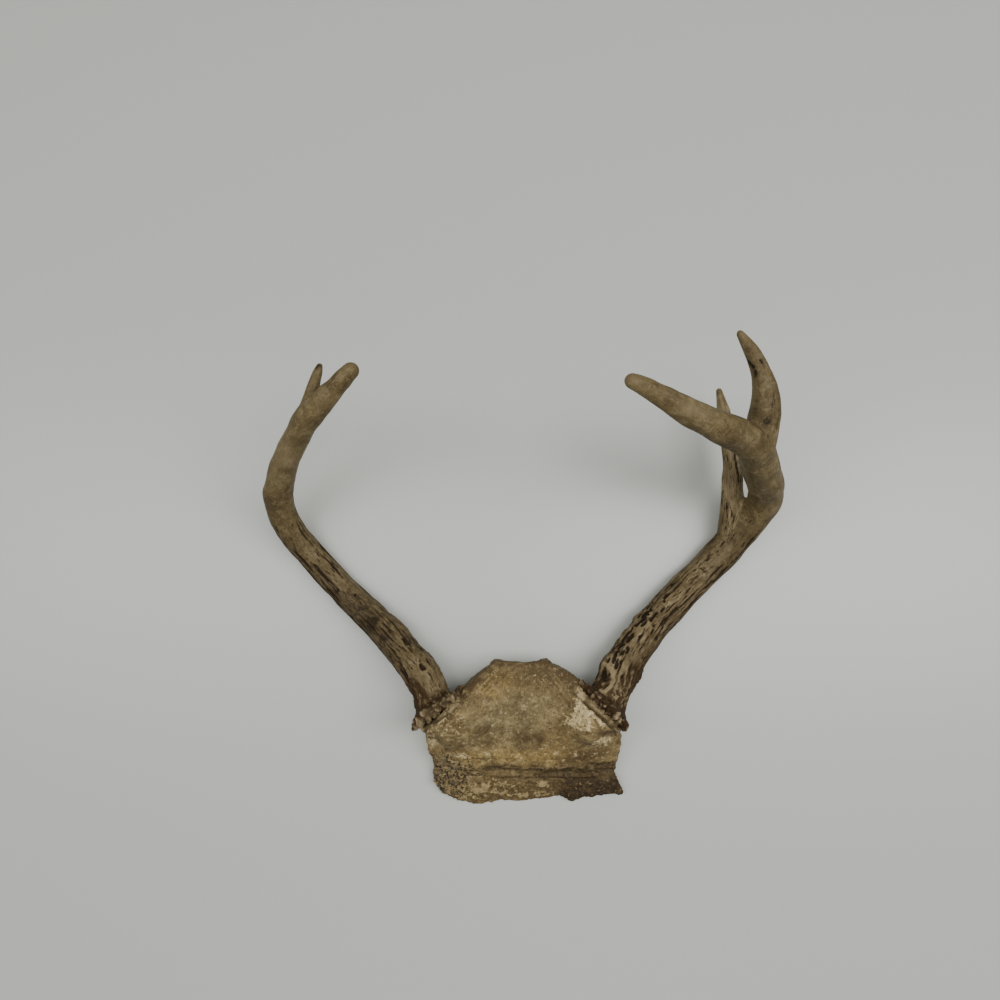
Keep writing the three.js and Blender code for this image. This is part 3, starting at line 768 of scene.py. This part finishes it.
def carve_plate(thing):
    points = points_of(thing)
    normals = normals_of(thing)
    x, y, z = points.T
    broad = (np.stack([fbm(points / 9.0, 3, 60 + k) for k in range(3)], 1) - 0.5) * 2
    small = (np.stack([fbm(points / 2.4, 2, 68 + k) for k in range(3)], 1) - 0.5) * 2
    wx = x + 4.0 * broad[:, 0] + 0.7 * small[:, 0]
    wy = y + 2.4 * broad[:, 1] + 0.7 * small[:, 1]
    upward = smoothstep(0.10, 0.55, normals[:, 2])
    outside = smoothstep(0.4, 1.6, z)
    wall = (1 - np.abs(normals[:, 2])) * outside

    behind = collar_distance(points)
    squiggle = 3.4 + 0.9 * broad[:, 2] + 0.5 * small[:, 2]
    collar = 1 - smoothstep(squiggle - 0.6, squiggle, behind)
    suture = np.exp(-(((behind - squiggle) / 0.55) ** 2))

    gy = wy + 2.4 * broad[:, 0] + 1.1 * small[:, 2]
    groove = np.exp(-(((gy + 16.0) / 2.6) ** 2)) * upward
    shade = smoothstep(-9.0, -13.0, gy) * smoothstep(-20.5, -16.5, gy)
    ledge = np.exp(-(((gy + 13.0) / 2.4) ** 2)) * upward
    strip = smoothstep(-16.5, -20.0, gy) * upward
    shard = smoothstep(19, 23, wx - 0.5 * (wy + 24)) * smoothstep(-18.0, -20.0, wy) * upward
    tissue = np.clip(1.25 * spot(wx, wy, -44, -20, 11, 10) - 0.1, 0, 1)
    layer = fbm(points / (8, 1.1, 1.6) + broad * 0.4, 3, 71)
    crumble = 1 - np.abs(2 * fbm(points / 3.0 + broad * 0.5, 3, 72) - 1)
    chips, chip_edge, chip_number = cells(points / 2.8 + broad * 0.6, 75)
    pores, _, pore_number = cells(points * (1, 1, 0.5) / 1.7, 80)
    pore = smoothstep(0.30, 0.14, pores) * (pore_number > 0.80)
    strands = 1 - np.abs(2 * fbm(points / (1.0, 4.0, 1.2) + small * 0.6 + broad, 3, 85) - 1)

    # streaks that follow the rim behind each antler
    side = np.where(x < -2, 1.0, -1.0)
    inset = (x + 2) * side * 0.72 + 45 * 0.72 - (y - 15) * 0.695
    run = (x + 2) * side * 0.695 + (y - 15) * 0.72
    rim = (1 - smoothstep(3, 17, inset)) * smoothstep(10, 18, y)
    lines = fbm(np.column_stack([inset / 0.9, run / 9.0, z / 6.0]) + broad * 0.5, 3, 95)

    fine_lift = 0.75 * (fbm(points / 4.6, 3, 66) - 0.5) * 2 * (1 - 0.5 * strip)
    fine_lift += 0.30 * (fbm(points / 1.7, 2, 67) - 0.5) * 2
    fine_lift -= 0.45 * pore * upward * (1 - strip)
    fine_lift += 0.8 * (lines - 0.5) * rim
    fine_lift += 2.3 * (layer - 0.5) * (groove + ledge)
    fine_lift += strip * 1.3 * (crumble - 0.6)
    fine_lift += strip * 0.9 * (chip_number - 0.5) * smoothstep(0.02, 0.2, chip_edge - chips)
    fine_lift += tissue * 2.2 * (strands - 0.55)
    fine_lift += wall * 1.0 * (fbm(points / 2.6, 3, 90) - 0.5) * 2
    lift = fine_lift + 1.3 * (fbm(points / 13.0, 3, 64) - 0.5) - 0.8 * groove + 1.0 * shard
    lift -= 2.1 * spot(x, y, 41, 7, 6.5, 4.2) + 1.3 * spot(x, y, -41, 6, 6, 5)
    lift += 0.9 * spot(wx, wy, 39, 3, 4.5, 2.5) * upward
    lift += 0.5 * collar - 0.6 * suture * smoothstep(1.5, 3, behind)
    lift *= outside
    carved = points + normals * lift[:, None]
    carved[:, 2] = np.where(z < 0.35, np.maximum(carved[:, 2], 0.0), np.maximum(carved[:, 2], 0.05))
    put_points(thing, carved)

    pale = 1.75 * spot(wx, wy, 27.8, 16, 3.8, 5.6) + 0.6 * spot(wx, wy, 33, 13, 4, 2.2)
    pale += 0.9 * spot(wx, wy, 28.5, 22, 2.4, 5) + 0.9 * spot(wx, wy, 29, 28, 2.0, 4)
    pale += 2.0 * spot(wx, wy, 39.6, 3.6, 4.2, 2.0) + 1.3 * spot(wx, wy, -34, -5, 5.5, 1.5)
    pale += 0.9 * spot(wx, wy, -50, 3, 3, 6) + 0.6 * spot(wx, wy, 48, 11.5, 2.5, 3)
    pale += 1.3 * np.exp(-(((behind - squiggle - 2.4) / 1.3) ** 2)) * spot(x, y, 38, 17, 12, 11)
    pale += 0.5 * smoothstep(6, 3, behind) * (x < 0) + 0.5 * spot(wx, wy, 22, 13, 3, 2)
    pale += 0.32 * spot(wx, wy, -38, 10, 12, 9) + 0.22 * spot(wx, wy, 8, -3, 26, 6)
    pale += 0.3 * spot(wx, wy, 44, 0, 5, 6) - 0.9 * spot(wx, wy, 41, 9, 6, 2.4)
    brown = 1.2 * spot(wx, wy, 41, 8.6, 6.0, 2.4) + 1.1 * spot(wx, wy, 2, 5.5, 6, 2.8)
    brown += 0.9 * spot(wx, wy, 9, 3, 3, 4) + spot(wx, wy, -18, 2, 4, 2)
    brown += 0.9 * spot(wx, wy, 30, -6, 11, 4) + 0.35 * spot(wx, wy, -40, 12, 6, 5)
    brown += 0.5 * spot(wx, wy, 40, -2, 8, 5) + 0.55 * smoothstep(22, 38, y)
    brown += 0.9 * rim * smoothstep(0.48, 0.60, lines)
    brown += 0.9 * (1 - smoothstep(0.3, 4.5, inset + 1.5 * small[:, 1])) * smoothstep(14, 20, y)
    brown += 0.7 * (1 - smoothstep(0.5, 3.5, 45.5 - y)) + 0.8 * spot(wx, wy, -42, -9, 8, 3)
    green = 1.2 * spot(wx, wy, -8, 15, 19, 12) + 0.5 * spot(wx, wy, 10, 27, 14, 6)
    ochre = spot(wx, wy, -2, -5.5, 36, 4.2) + 1.9 * spot(wx, wy, -15, 34, 9, 5.5)
    ochre += 0.4 * spot(wx, wy, 16, 4, 10, 6)
    crumbs = spot(wx, wy, -24, -25, 11, 5) + spot(wx, wy, 11, -20.5, 5, 2.5)
    crumbs += 0.7 * spot(wx, wy, 0, -28, 16, 2.5) + 0.5 * spot(wx, wy, -6, -22, 8, 3)
    # the groove band: its own dark bone with painted shade below the ledge, darker to the right
    groove_band_and_shade = shade * (0.80 + 0.014 * x + 1.4 * (0.5 - layer) + 1.0 * (crumble - 0.68))
    groove_band_and_shade *= smoothstep(-44, -24, x)
    groove_band_and_shade += 0.8 * ledge * smoothstep(0.50, 0.42, layer)
    darker = smoothstep(2, 26, wx) * strip
    under = smoothstep(0.2, -0.3, normals[:, 2]) + (1 - outside)
    # painted shade: steep walls of the rear half are darkened
    painted_wall_shade = np.clip(wall * 0.7, 0, 1) * (y > 0)
    store(
        thing,
        grain=points * MM,
        groove=np.clip(groove_band_and_shade, 0, 1),
        # painted shade: the low spots of the carved relief are darkened
        hollow=smoothstep(0.25, -0.9, fine_lift) * outside,
        crumbs=np.clip(crumbs, 0, 1),
        strip_dark=darker,
        strip=strip,
        chip=np.clip(0.25 + 0.9 * (crumble - 0.5) + 0.8 * (chip_number - 0.3), 0, 1),
        shard=shard * smoothstep(0.10, 0.5, 1.1 - 0.25 * crumble),
        tissue=tissue,
        tissue_edge=np.clip(spot(wx, wy, -46, -22, 8, 6), 0, 1) * smoothstep(-8, -14, wy),
        pale=np.clip(pale, 0, 1.5),
        brown=np.clip(brown, 0, 1),
        green=np.clip(green, 0, 1),
        ochre=np.clip(ochre, 0, 1),
        collar=collar,
        # the suture line, plus painted shade on the rear walls
        suture=np.clip(suture * smoothstep(1.5, 3, behind) + painted_wall_shade, 0, 1),
        sawn=np.clip(under, 0, 1),
        pore=pore * upward,
    )


skull = make_object("skull_bone_plate", *plate_solid())
for centre, radii in (BRAINCASE, *ORBITS):
    cut_away(skull, make_object("hollow", *ball(centre, radii)))
stems = join([tube(pedicle_limb(*collar), round_end=False) for collar in collars])
body_mesh = skull.data
plate_vertices = [tuple(v.co / MM) for v in body_mesh.vertices]
plate_faces = [tuple(p.vertices) for p in body_mesh.polygons]
bpy.data.objects.remove(skull)
bpy.data.meshes.remove(body_mesh)
skull = make_object("skull_bone_plate", *join([(plate_vertices, plate_faces), stems]))
remesh(skull, BONE_VOXEL, 2)
blend_pedicles(skull)
carve_plate(skull)
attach(skull, "root")
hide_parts("skull_plate")


def dried_fibres(name, over, seed=5):
    """Thin closed fibres of dried tissue, matted over the front left corner of the plate."""
    draw = np.random.default_rng(seed)
    surface = BVHTree.FromObject(over, bpy.context.evaluated_depsgraph_get())
    parts = []
    for _ in range(FIBRES):
        x, y = draw.normal(FIBRE_PATCH[0], FIBRE_PATCH[1])
        heading = draw.uniform(0, 2 * math.pi)
        bend = draw.normal(0, 0.16)
        rise = draw.uniform(0.0, 1.1)
        count = int(draw.integers(8, 15))
        path = []
        for step in range(count):
            hit = surface.ray_cast(Vector((x * MM, y * MM, 0.1)), Vector((0, 0, -1)))[0]
            ground = hit.z / MM if hit else (path[-1][2] - 0.6 if path else 0.0)
            arch = rise * math.sin(math.pi * step / (count - 1))
            path.append((x, y, max(0.4, ground + arch), 0.0))
            heading += bend + draw.normal(0, 0.22)
            x += 0.75 * math.cos(heading)
            y += 0.75 * math.sin(heading)
            if hit is None and step > 2:
                break
        if len(path) < 5 or path[0][2] < 0.5:
            continue
        thick = draw.uniform(0.18, 0.34)
        path = [(*place[:3], thick * (0.5 + 0.5 * math.sin(math.pi * i / (len(path) - 1)))) for i, place in enumerate(path)]
        parts.append(thread(path))
    return make_object(name, *join(parts))


def thread(path, sides=5):
    """A closed thin tube along a row of (x, y, z, radius)."""
    path = np.array(path, float)
    along = np.gradient(path[:, :3], axis=0)
    along /= np.linalg.norm(along, axis=1)[:, None]
    side = np.cross(along, (0, 0, 1.0))
    side /= np.maximum(np.linalg.norm(side, axis=1), 1e-6)[:, None]
    up = np.cross(side, along)
    angles = np.arange(sides) * 2 * np.pi / sides
    rings = [
        p[:3] + p[3] * (np.cos(angles)[:, None] * s + np.sin(angles)[:, None] * u)
        for p, s, u in zip(path, side, up)
    ]
    faces = []
    for ring in range(len(path) - 1):
        for k in range(sides):
            a = ring * sides + k
            b = ring * sides + (k + 1) % sides
            faces.append((a, a + sides, b + sides, b))
    faces.append(tuple(range(sides)))
    last = (len(path) - 1) * sides
    faces.append(tuple(reversed(range(last, last + sides))))
    return list(np.vstack(rings)), faces


fibres = dried_fibres("dried_tissue", skull)
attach(fibres, "root")


# ------------------------------------------------------------------ materials
class Nodes:
    """A small helper to write node materials as expressions."""

    def __init__(self, name):
        self.material = bpy.data.materials.new(name)
        self.material.use_nodes = True
        self.tree = self.material.node_tree
        self.shader = self.tree.nodes["Principled BSDF"]

    def add(self, kind, inputs=None, **settings):
        node = self.tree.nodes.new(kind)
        for key, value in settings.items():
            setattr(node, key, value)
        for key, value in (inputs or {}).items():
            self.feed(node.inputs[key], value)
        return node

    def feed(self, socket, value):
        if isinstance(value, bpy.types.NodeSocket):
            self.tree.links.new(value, socket)
        else:
            socket.default_value = value

    def field(self, name, vector=False):
        node = self.add("ShaderNodeAttribute", attribute_name=name)
        return node.outputs["Vector" if vector else "Fac"]

    def noise(self, vector, scale, detail=4.0, roughness=0.55, distortion=0.0):
        inputs = {"Vector": vector, "Scale": scale, "Detail": detail}
        inputs |= {"Roughness": roughness, "Distortion": distortion}
        return self.add("ShaderNodeTexNoise", inputs).outputs["Fac"]

    def voronoi(self, vector, scale):
        node = self.add("ShaderNodeTexVoronoi", {"Vector": vector, "Scale": scale})
        return node.outputs["Distance"]

    def moved(self, vector, distance):
        shift = (distance, distance, distance)
        return self.add("ShaderNodeMapping", {"Vector": vector, "Location": shift}).outputs["Vector"]

    def turned(self, vector, angle):
        turn = (0.0, 0.0, angle)
        return self.add("ShaderNodeMapping", {"Vector": vector, "Rotation": turn}).outputs["Vector"]

    def scaled(self, vector, scale):
        return self.add("ShaderNodeMapping", {"Vector": vector, "Scale": scale}).outputs["Vector"]

    def math(self, operation, a, b=0.0):
        return self.add("ShaderNodeMath", {0: a, 1: b}, operation=operation).outputs[0]

    def ramp(self, value, low, high, to_low=0.0, to_high=1.0):
        inputs = {"Value": value, "From Min": low, "From Max": high}
        inputs |= {"To Min": to_low, "To Max": to_high}
        node = self.add("ShaderNodeMapRange", inputs, interpolation_type="SMOOTHSTEP")
        return node.outputs["Result"]

    def mix(self, factor, a, b, blend="MIX"):
        node = self.add("ShaderNodeMix", data_type="RGBA", blend_type=blend)
        self.feed(node.inputs["Factor"], factor)
        self.feed(node.inputs["A"], a)
        self.feed(node.inputs["B"], b)
        return node.outputs["Result"]

    def bump(self, height, strength, distance, normal=None):
        inputs = {"Height": height, "Strength": strength, "Distance": distance}
        if normal is not None:
            inputs["Normal"] = normal
        return self.add("ShaderNodeBump", inputs).outputs["Normal"]


def colour(r, g, b):
    return (r, g, b, 1.0)


ANTLER_LIGHT = colour(0.255, 0.197, 0.106)
ANTLER_TAN = colour(0.147, 0.110, 0.049)
ANTLER_MID = colour(0.140, 0.102, 0.048)
ANTLER_DEEP = colour(0.094, 0.067, 0.029)
ANTLER_BROWN = colour(0.058, 0.038, 0.017)
PIT_DARK = colour(0.020, 0.013, 0.006)
SOIL = colour(0.036, 0.019, 0.007)
BEAD = colour(0.270, 0.205, 0.115)
BONE_TAN = colour(0.300, 0.218, 0.092)
BONE_BROWN = colour(0.180, 0.125, 0.051)
BONE_OCHRE = colour(0.395, 0.262, 0.078)
BONE_GREEN = colour(0.160, 0.138, 0.070)
BONE_STAIN = colour(0.082, 0.053, 0.022)
BONE_CREAM = colour(0.420, 0.325, 0.168)
BONE_WHITE = colour(0.720, 0.570, 0.310)
GROOVE_DARK = colour(0.034, 0.022, 0.010)
SHARD_DARK = colour(0.026, 0.016, 0.008)
TISSUE_DARK = colour(0.030, 0.020, 0.011)
TISSUE_GREY = colour(0.350, 0.288, 0.180)


def antler_material(name):
    n = Nodes(name)
    grain = n.field("grain", vector=True)
    broad = n.noise(grain, 70, 3)
    mottle = n.noise(grain, 300, 5, 0.65)
    fibres = n.noise(n.scaled(grain, (1, 1, 0.10)), 1500, 4, 0.6)
    lengthwise = n.noise(n.scaled(grain, (1, 1, 0.14)), 480, 4)
    clouds = n.noise(n.moved(grain, 0.71), 150, 5, 0.6, 0.5)
    worked = n.field("worked")
    grit = n.noise(n.moved(grain, 0.17), 1000, 5, 0.7)
    streak_cells = n.scaled(grain, (1250, 1250, 210))
    streak = n.ramp(n.voronoi(streak_cells, 1.0), 0.26, 0.36, 1.0, 0.0)
    streak = n.math("MULTIPLY", streak, n.ramp(n.noise(grain, 190, 2), 0.42, 0.56))
    streak = n.math("MULTIPLY", streak, n.field("streaked"))

    smooth_tone = n.mix(n.ramp(broad, 0.38, 0.62), ANTLER_DEEP, ANTLER_TAN)
    smooth_tone = n.mix(n.ramp(clouds, 0.54, 0.66, 0, 0.5), smooth_tone, ANTLER_BROWN)
    smooth_tone = n.mix(n.ramp(clouds, 0.46, 0.36, 0, 0.35), smooth_tone, ANTLER_LIGHT)
    smooth_tone = n.mix(n.ramp(lengthwise, 0.50, 0.66, 0, 0.18), smooth_tone, ANTLER_BROWN)
    rough_tone = n.mix(n.ramp(lengthwise, 0.36, 0.56), ANTLER_LIGHT, ANTLER_MID)
    rough_tone = n.mix(n.ramp(broad, 0.46, 0.62, 0, 0.6), rough_tone, ANTLER_BROWN)
    tone = n.mix(n.field("lower"), smooth_tone, rough_tone)
    tone = n.mix(n.ramp(mottle, 0.54, 0.68, 0, 0.45), tone, ANTLER_LIGHT)
    tone = n.mix(n.ramp(mottle, 0.46, 0.34, 0, 0.5), tone, ANTLER_BROWN)
    tone = n.mix(n.ramp(grit, 0.53, 0.66, 0, 0.5), tone, ANTLER_BROWN)
    tone = n.mix(n.ramp(grit, 0.45, 0.34, 0, 0.4), tone, ANTLER_LIGHT)
    # painted shade darkens the outer flank of each beam
    tone = n.mix(n.math("MULTIPLY", n.field("outer"), 0.75), tone, ANTLER_BROWN)
    tone = n.mix(n.math("MULTIPLY", n.ramp(fibres, 0.48, 0.70, 0, 0.5), worked), tone, ANTLER_BROWN)
    # pale marks: wear, and painted light on the lower right tine
    tone = n.mix(n.math("MULTIPLY", n.field("worn"), n.ramp(fibres, 0.3, 0.6, 0.8, 0.4)), tone, ANTLER_LIGHT)
    # dark marks: stains, and painted shade on the right beam's outer edge
    tone = n.mix(n.math("MULTIPLY", n.field("stain"), n.ramp(mottle, 0.3, 0.6, 0.65, 0.35)), tone, PIT_DARK)
    ragged = n.math("ADD", n.field("stain"), n.math("MULTIPLY", mottle, 0.9))
    tone = n.mix(n.ramp(ragged, 1.15, 1.4, 0, 0.9), tone, PIT_DARK)
    tone = n.mix(n.math("MULTIPLY", streak, 0.8), tone, PIT_DARK)
    soil = n.math("MULTIPLY", n.field("soil"), n.ramp(mottle, 0.25, 0.6, 0.6, 1.0))
    tone = n.mix(soil, tone, SOIL)
    tone = n.mix(n.math("MULTIPLY", n.field("crest"), n.ramp(mottle, 0.3, 0.6, 0.5, 0.9)), tone, ANTLER_LIGHT)
    dirt = n.ramp(n.math("ADD", n.field("dirt"), n.math("MULTIPLY", mottle, 0.3)), 0.5, 1.0)
    tone = n.mix(n.ramp(n.field("dirt"), 0.08, 0.4, 0, 0.75), tone, ANTLER_BROWN)
    tone = n.mix(dirt, tone, PIT_DARK)
    bead = n.math("MULTIPLY", n.field("bead_top"), n.ramp(grit, 0.42, 0.58, 1.0, 0.35))
    tone = n.mix(bead, tone, BEAD)
    # painted shade darkens the ends of the beams and tines a little
    tone = n.mix(n.math("MULTIPLY", n.field("tip"), 0.1), tone, ANTLER_BROWN)
    n.feed(n.shader.inputs["Base Color"], tone)
    shine = n.ramp(lengthwise, 0.3, 0.8, 0.46, 0.66)
    dull = n.math("MAXIMUM", dirt, n.field("soil"))
    n.feed(n.shader.inputs["Roughness"], n.math("ADD", shine, n.math("MULTIPLY", dull, 0.25)))
    height = n.math("SUBTRACT", n.math("MULTIPLY", n.math("MULTIPLY", fibres, worked), 0.6), streak)
    normal = n.bump(height, 0.7, 0.0005)
    normal = n.bump(grit, 0.35, 0.0004, normal)
    n.feed(n.shader.inputs["Normal"], n.bump(mottle, 0.4, 0.0005, normal))
    n.shader.inputs["Specular IOR Level"].default_value = 0.14
    return n.material


def bone_material(name):
    n = Nodes(name)
    place = n.field("grain", vector=True)
    broad = n.noise(place, 70, 4)
    medium = n.noise(place, 190, 7, 0.68, 0.5)
    other = n.noise(n.moved(place, 0.31), 260, 6, 0.66, 0.3)
    grit = n.noise(n.moved(place, 0.53), 620, 6, 0.72)
    fine = n.noise(place, 1500, 4, 0.62)
    hairs = n.noise(n.scaled(place, (1.0, 0.20, 1.0)), 1300, 4, 0.6, 1.5)
    cross_hairs = n.noise(n.scaled(n.turned(place, 0.9), (1.0, 0.16, 1.0)), 1200, 4, 0.6, 1.5)
    clouds = n.noise(n.moved(place, 0.77), 120, 5, 0.6, 0.4)
    tone = n.mix(n.ramp(broad, 0.38, 0.60), BONE_BROWN, BONE_TAN)
    tone = n.mix(n.math("MULTIPLY", n.field("ochre"), n.ramp(other, 0.3, 0.62, 1.0, 0.45)), tone, BONE_OCHRE)
    tone = n.mix(n.math("MULTIPLY", n.field("green"), n.ramp(other, 0.35, 0.6, 1.0, 0.45)), tone, BONE_GREEN)
    tone = n.mix(n.ramp(clouds, 0.52, 0.64, 0, 0.65), tone, BONE_STAIN)
    tone = n.mix(n.ramp(clouds, 0.46, 0.36, 0, 0.5), tone, BONE_CREAM)
    tone = n.mix(n.ramp(medium, 0.53, 0.65, 0, 0.65), tone, BONE_STAIN)
    tone = n.mix(n.ramp(other, 0.45, 0.33, 0, 0.5), tone, BONE_CREAM)
    tone = n.mix(n.ramp(hairs, 0.52, 0.64, 0, 0.55), tone, BONE_STAIN)
    tone = n.mix(n.ramp(cross_hairs, 0.54, 0.66, 0, 0.5), tone, BONE_CREAM)
    brown = n.math("MULTIPLY", n.field("brown"), n.ramp(other, 0.32, 0.55, 0.5, 1.0))
    tone = n.mix(brown, tone, BONE_STAIN)
    tone = n.mix(n.ramp(grit, 0.54, 0.65, 0, 0.7), tone, BONE_STAIN)
    tone = n.mix(n.ramp(grit, 0.44, 0.33, 0, 0.7), tone, BONE_CREAM)
    flecks = n.ramp(n.noise(n.moved(place, 0.9), 460, 6, 0.78, 0.8), 0.60, 0.68)
    flecks = n.math("MULTIPLY", flecks, n.ramp(medium, 0.46, 0.54))
    tone = n.mix(n.math("MULTIPLY", flecks, 0.6), tone, BONE_WHITE)
    stains = n.ramp(n.noise(n.moved(place, 0.45), 380, 6, 0.75, 0.8), 0.58, 0.67)
    stains = n.math("MULTIPLY", stains, n.ramp(clouds, 0.46, 0.55))
    tone = n.mix(n.math("MULTIPLY", stains, 0.75), tone, BONE_STAIN)
    patchy = n.math("ADD", n.math("MULTIPLY", other, 2.7), n.math("MULTIPLY", grit, 2.7))
    pale = n.ramp(n.math("SUBTRACT", n.field("pale"), patchy), -2.28, -1.78)
    whitish = n.mix(n.ramp(n.math("ADD", fine, grit), 0.96, 1.14), BONE_WHITE, BONE_TAN)
    whitish = n.mix(n.ramp(medium, 0.50, 0.60, 0, 0.55), whitish, BONE_BROWN)
    tone = n.mix(n.math("MULTIPLY", pale, 0.95), tone, whitish)
    collar = n.math("MULTIPLY", n.field("collar"), n.ramp(other, 0.44, 0.58, 0.72, 0.22))
    tone = n.mix(collar, tone, BONE_CREAM)
    # suture line, and painted shade on the plate's rear walls
    tone = n.mix(n.math("MULTIPLY", n.field("suture"), n.ramp(fine, 0.3, 0.6, 0.95, 0.6)), tone, GROOVE_DARK)
    strip_tone = n.mix(n.ramp(grit, 0.38, 0.58), BONE_BROWN, BONE_STAIN)
    strip_tone = n.mix(n.math("MULTIPLY", n.field("strip_dark"), n.ramp(grit, 0.4, 0.6, 0.65, 0.35)),
                       strip_tone, SHARD_DARK)
    crumb = n.math("ADD", n.math("MULTIPLY", n.field("chip"), 0.5), n.math("MULTIPLY", n.field("crumbs"), 0.55))
    crumb = n.ramp(n.math("SUBTRACT", crumb, n.math("MULTIPLY", grit, 1.3)), -0.08, 0.18)
    strip_tone = n.mix(crumb, strip_tone, n.mix(n.ramp(fine, 0.4, 0.6), BONE_CREAM, BONE_TAN))
    tone = n.mix(n.math("MULTIPLY", n.field("strip"), 0.9), tone, strip_tone)
    shard_tone = n.mix(n.ramp(other, 0.46, 0.66), SHARD_DARK, BONE_STAIN)
    shard_tone = n.mix(n.ramp(grit, 0.43, 0.35, 0, 0.8), shard_tone, BONE_TAN)
    tone = n.mix(n.math("MULTIPLY", n.field("shard"), 0.92), tone, shard_tone)
    # groove band: dark bone and painted shade below the ledge
    groove = n.math("MULTIPLY", n.field("groove"), n.ramp(grit, 0.38, 0.60, 1.0, 0.6))
    tone = n.mix(groove, tone, GROOVE_DARK)
    matted = n.noise(n.scaled(n.turned(place, 0.5), (1.0, 0.28, 1.0)), 620, 4, 0.6, 2.0)
    tissue_tone = n.mix(n.ramp(matted, 0.42, 0.60), TISSUE_DARK, TISSUE_GREY)
    tissue_tone = n.mix(n.ramp(cross_hairs, 0.52, 0.64, 0, 0.5), tissue_tone, BONE_STAIN)
    tissue_tone = n.mix(n.ramp(clouds, 0.46, 0.60, 0, 0.6), tissue_tone, TISSUE_DARK)
    tissue_tone = n.mix(n.ramp(other, 0.46, 0.34, 0, 0.35), tissue_tone, TISSUE_GREY)
    tissue_edge = n.math("MULTIPLY", n.field("tissue_edge"), n.ramp(grit, 0.44, 0.58, 0.15, 0.9))
    tissue_tone = n.mix(tissue_edge, tissue_tone, TISSUE_DARK)
    tissue = n.math("MULTIPLY", n.field("tissue"), n.ramp(medium, 0.35, 0.65, 1.0, 0.6))
    tone = n.mix(tissue, tone, tissue_tone)
    tone = n.mix(n.math("MULTIPLY", n.field("pore"), 0.8), tone, GROOVE_DARK)
    # painted shade in the low spots of the relief
    tone = n.mix(n.math("MULTIPLY", n.field("hollow"), n.ramp(fine, 0.3, 0.6, 0.75, 0.35)), tone, BONE_STAIN)
    tone = n.mix(n.ramp(fine, 0.55, 0.68, 0, 0.45), tone, GROOVE_DARK)
    spongy = n.voronoi(n.scaled(place, (900, 900, 900)), 1.0)
    sawn_tone = n.mix(n.ramp(spongy, 0.25, 0.5), GROOVE_DARK, BONE_CREAM)
    tone = n.mix(n.math("MULTIPLY", n.field("sawn"), 0.8), tone, sawn_tone)
    n.feed(n.shader.inputs["Base Color"], tone)
    n.feed(n.shader.inputs["Roughness"], n.ramp(medium, 0.3, 0.8, 0.56, 0.85))
    normal = n.bump(other, 0.7, 0.0009)
    normal = n.bump(grit, 0.7, 0.0006, normal)
    normal = n.bump(hairs, 0.4, 0.0004, normal)
    n.feed(n.shader.inputs["Normal"], n.bump(fine, 0.6, 0.0004, normal))
    n.shader.inputs["Specular IOR Level"].default_value = 0.2
    return n.material


def fibre_material(name):
    n = Nodes(name)
    place = n.add("ShaderNodeTexCoord").outputs["Object"]
    tone = n.mix(n.ramp(n.noise(place, 420, 4, 0.6), 0.42, 0.60), TISSUE_DARK, BONE_TAN)
    tone = n.mix(n.ramp(n.noise(n.moved(place, 0.4), 700, 3), 0.50, 0.62, 0, 0.5), tone, TISSUE_GREY)
    n.feed(n.shader.inputs["Base Color"], tone)
    n.shader.inputs["Roughness"].default_value = 0.7
    n.feed(n.shader.inputs["Normal"], n.bump(n.noise(place, 2500, 3), 0.5, 0.0002))
    n.shader.inputs["Specular IOR Level"].default_value = 0.25
    return n.material


def table_material(name):
    n = Nodes(name)
    n.shader.inputs["Base Color"].default_value = colour(0.485, 0.498, 0.462)
    n.shader.inputs["Roughness"].default_value = 0.32
    n.shader.inputs["Specular IOR Level"].default_value = 0.4
    return n.material


antler_finish = antler_material("weathered_antler")
for antler in (right_antler, left_antler):
    antler.data.materials.clear()
    antler.data.materials.append(antler_finish)
skull.data.materials.clear()
skull.data.materials.append(bone_material("stained_bone"))
fibres.data.materials.append(fibre_material("dried_tissue_brown"))


# ------------------------------------------------------------------ stage, light, camera
def stage():
    size = 3000
    floor = make_object("table", [(-size, -size, 0), (size, -size, 0), (size, size, 0), (-size, size, 0)],
                        [(0, 1, 2, 3)])
    floor.data.materials.append(table_material("pale_table"))


def area_light(name, place, target, size, power):
    data = bpy.data.lights.new(name, "AREA")
    data.shape = "RECTANGLE"
    data.size, data.size_y = size
    data.energy = power
    light = bpy.data.objects.new(name, data)
    light.location = place
    aim = Vector(target) - Vector(place)
    light.rotation_euler = aim.to_track_quat("-Z", "Y").to_euler()
    bpy.context.collection.objects.link(light)


def lights():
    middle = (0, 0.08, 0)
    area_light("left_light", (-0.62, 0.15, 1.35), middle, (0.5, 1.3), 10.5)
    area_light("right_light", (0.62, 0.15, 1.35), middle, (0.5, 1.3), 17)
    area_light("front_light", (0.0, -0.9, 1.3), middle, (1.0, 0.5), 0.8)
    world = bpy.data.worlds.new("room")
    world.use_nodes = True
    background = world.node_tree.nodes["Background"]
    background.inputs["Color"].default_value = colour(0.97, 0.98, 0.94)
    background.inputs["Strength"].default_value = 0.28
    bpy.context.scene.world = world


def camera():
    data = bpy.data.cameras.new("camera")
    data.lens = CAMERA_LENS
    data.sensor_width = SENSOR
    data.clip_start = 0.01
    eye = bpy.data.objects.new("camera", data)
    eye.location = CAMERA_PLACE
    eye.rotation_euler = (CAMERA_TILT, 0, 0)
    bpy.context.collection.objects.link(eye)
    bpy.context.scene.camera = eye


stage()
lights()
camera()
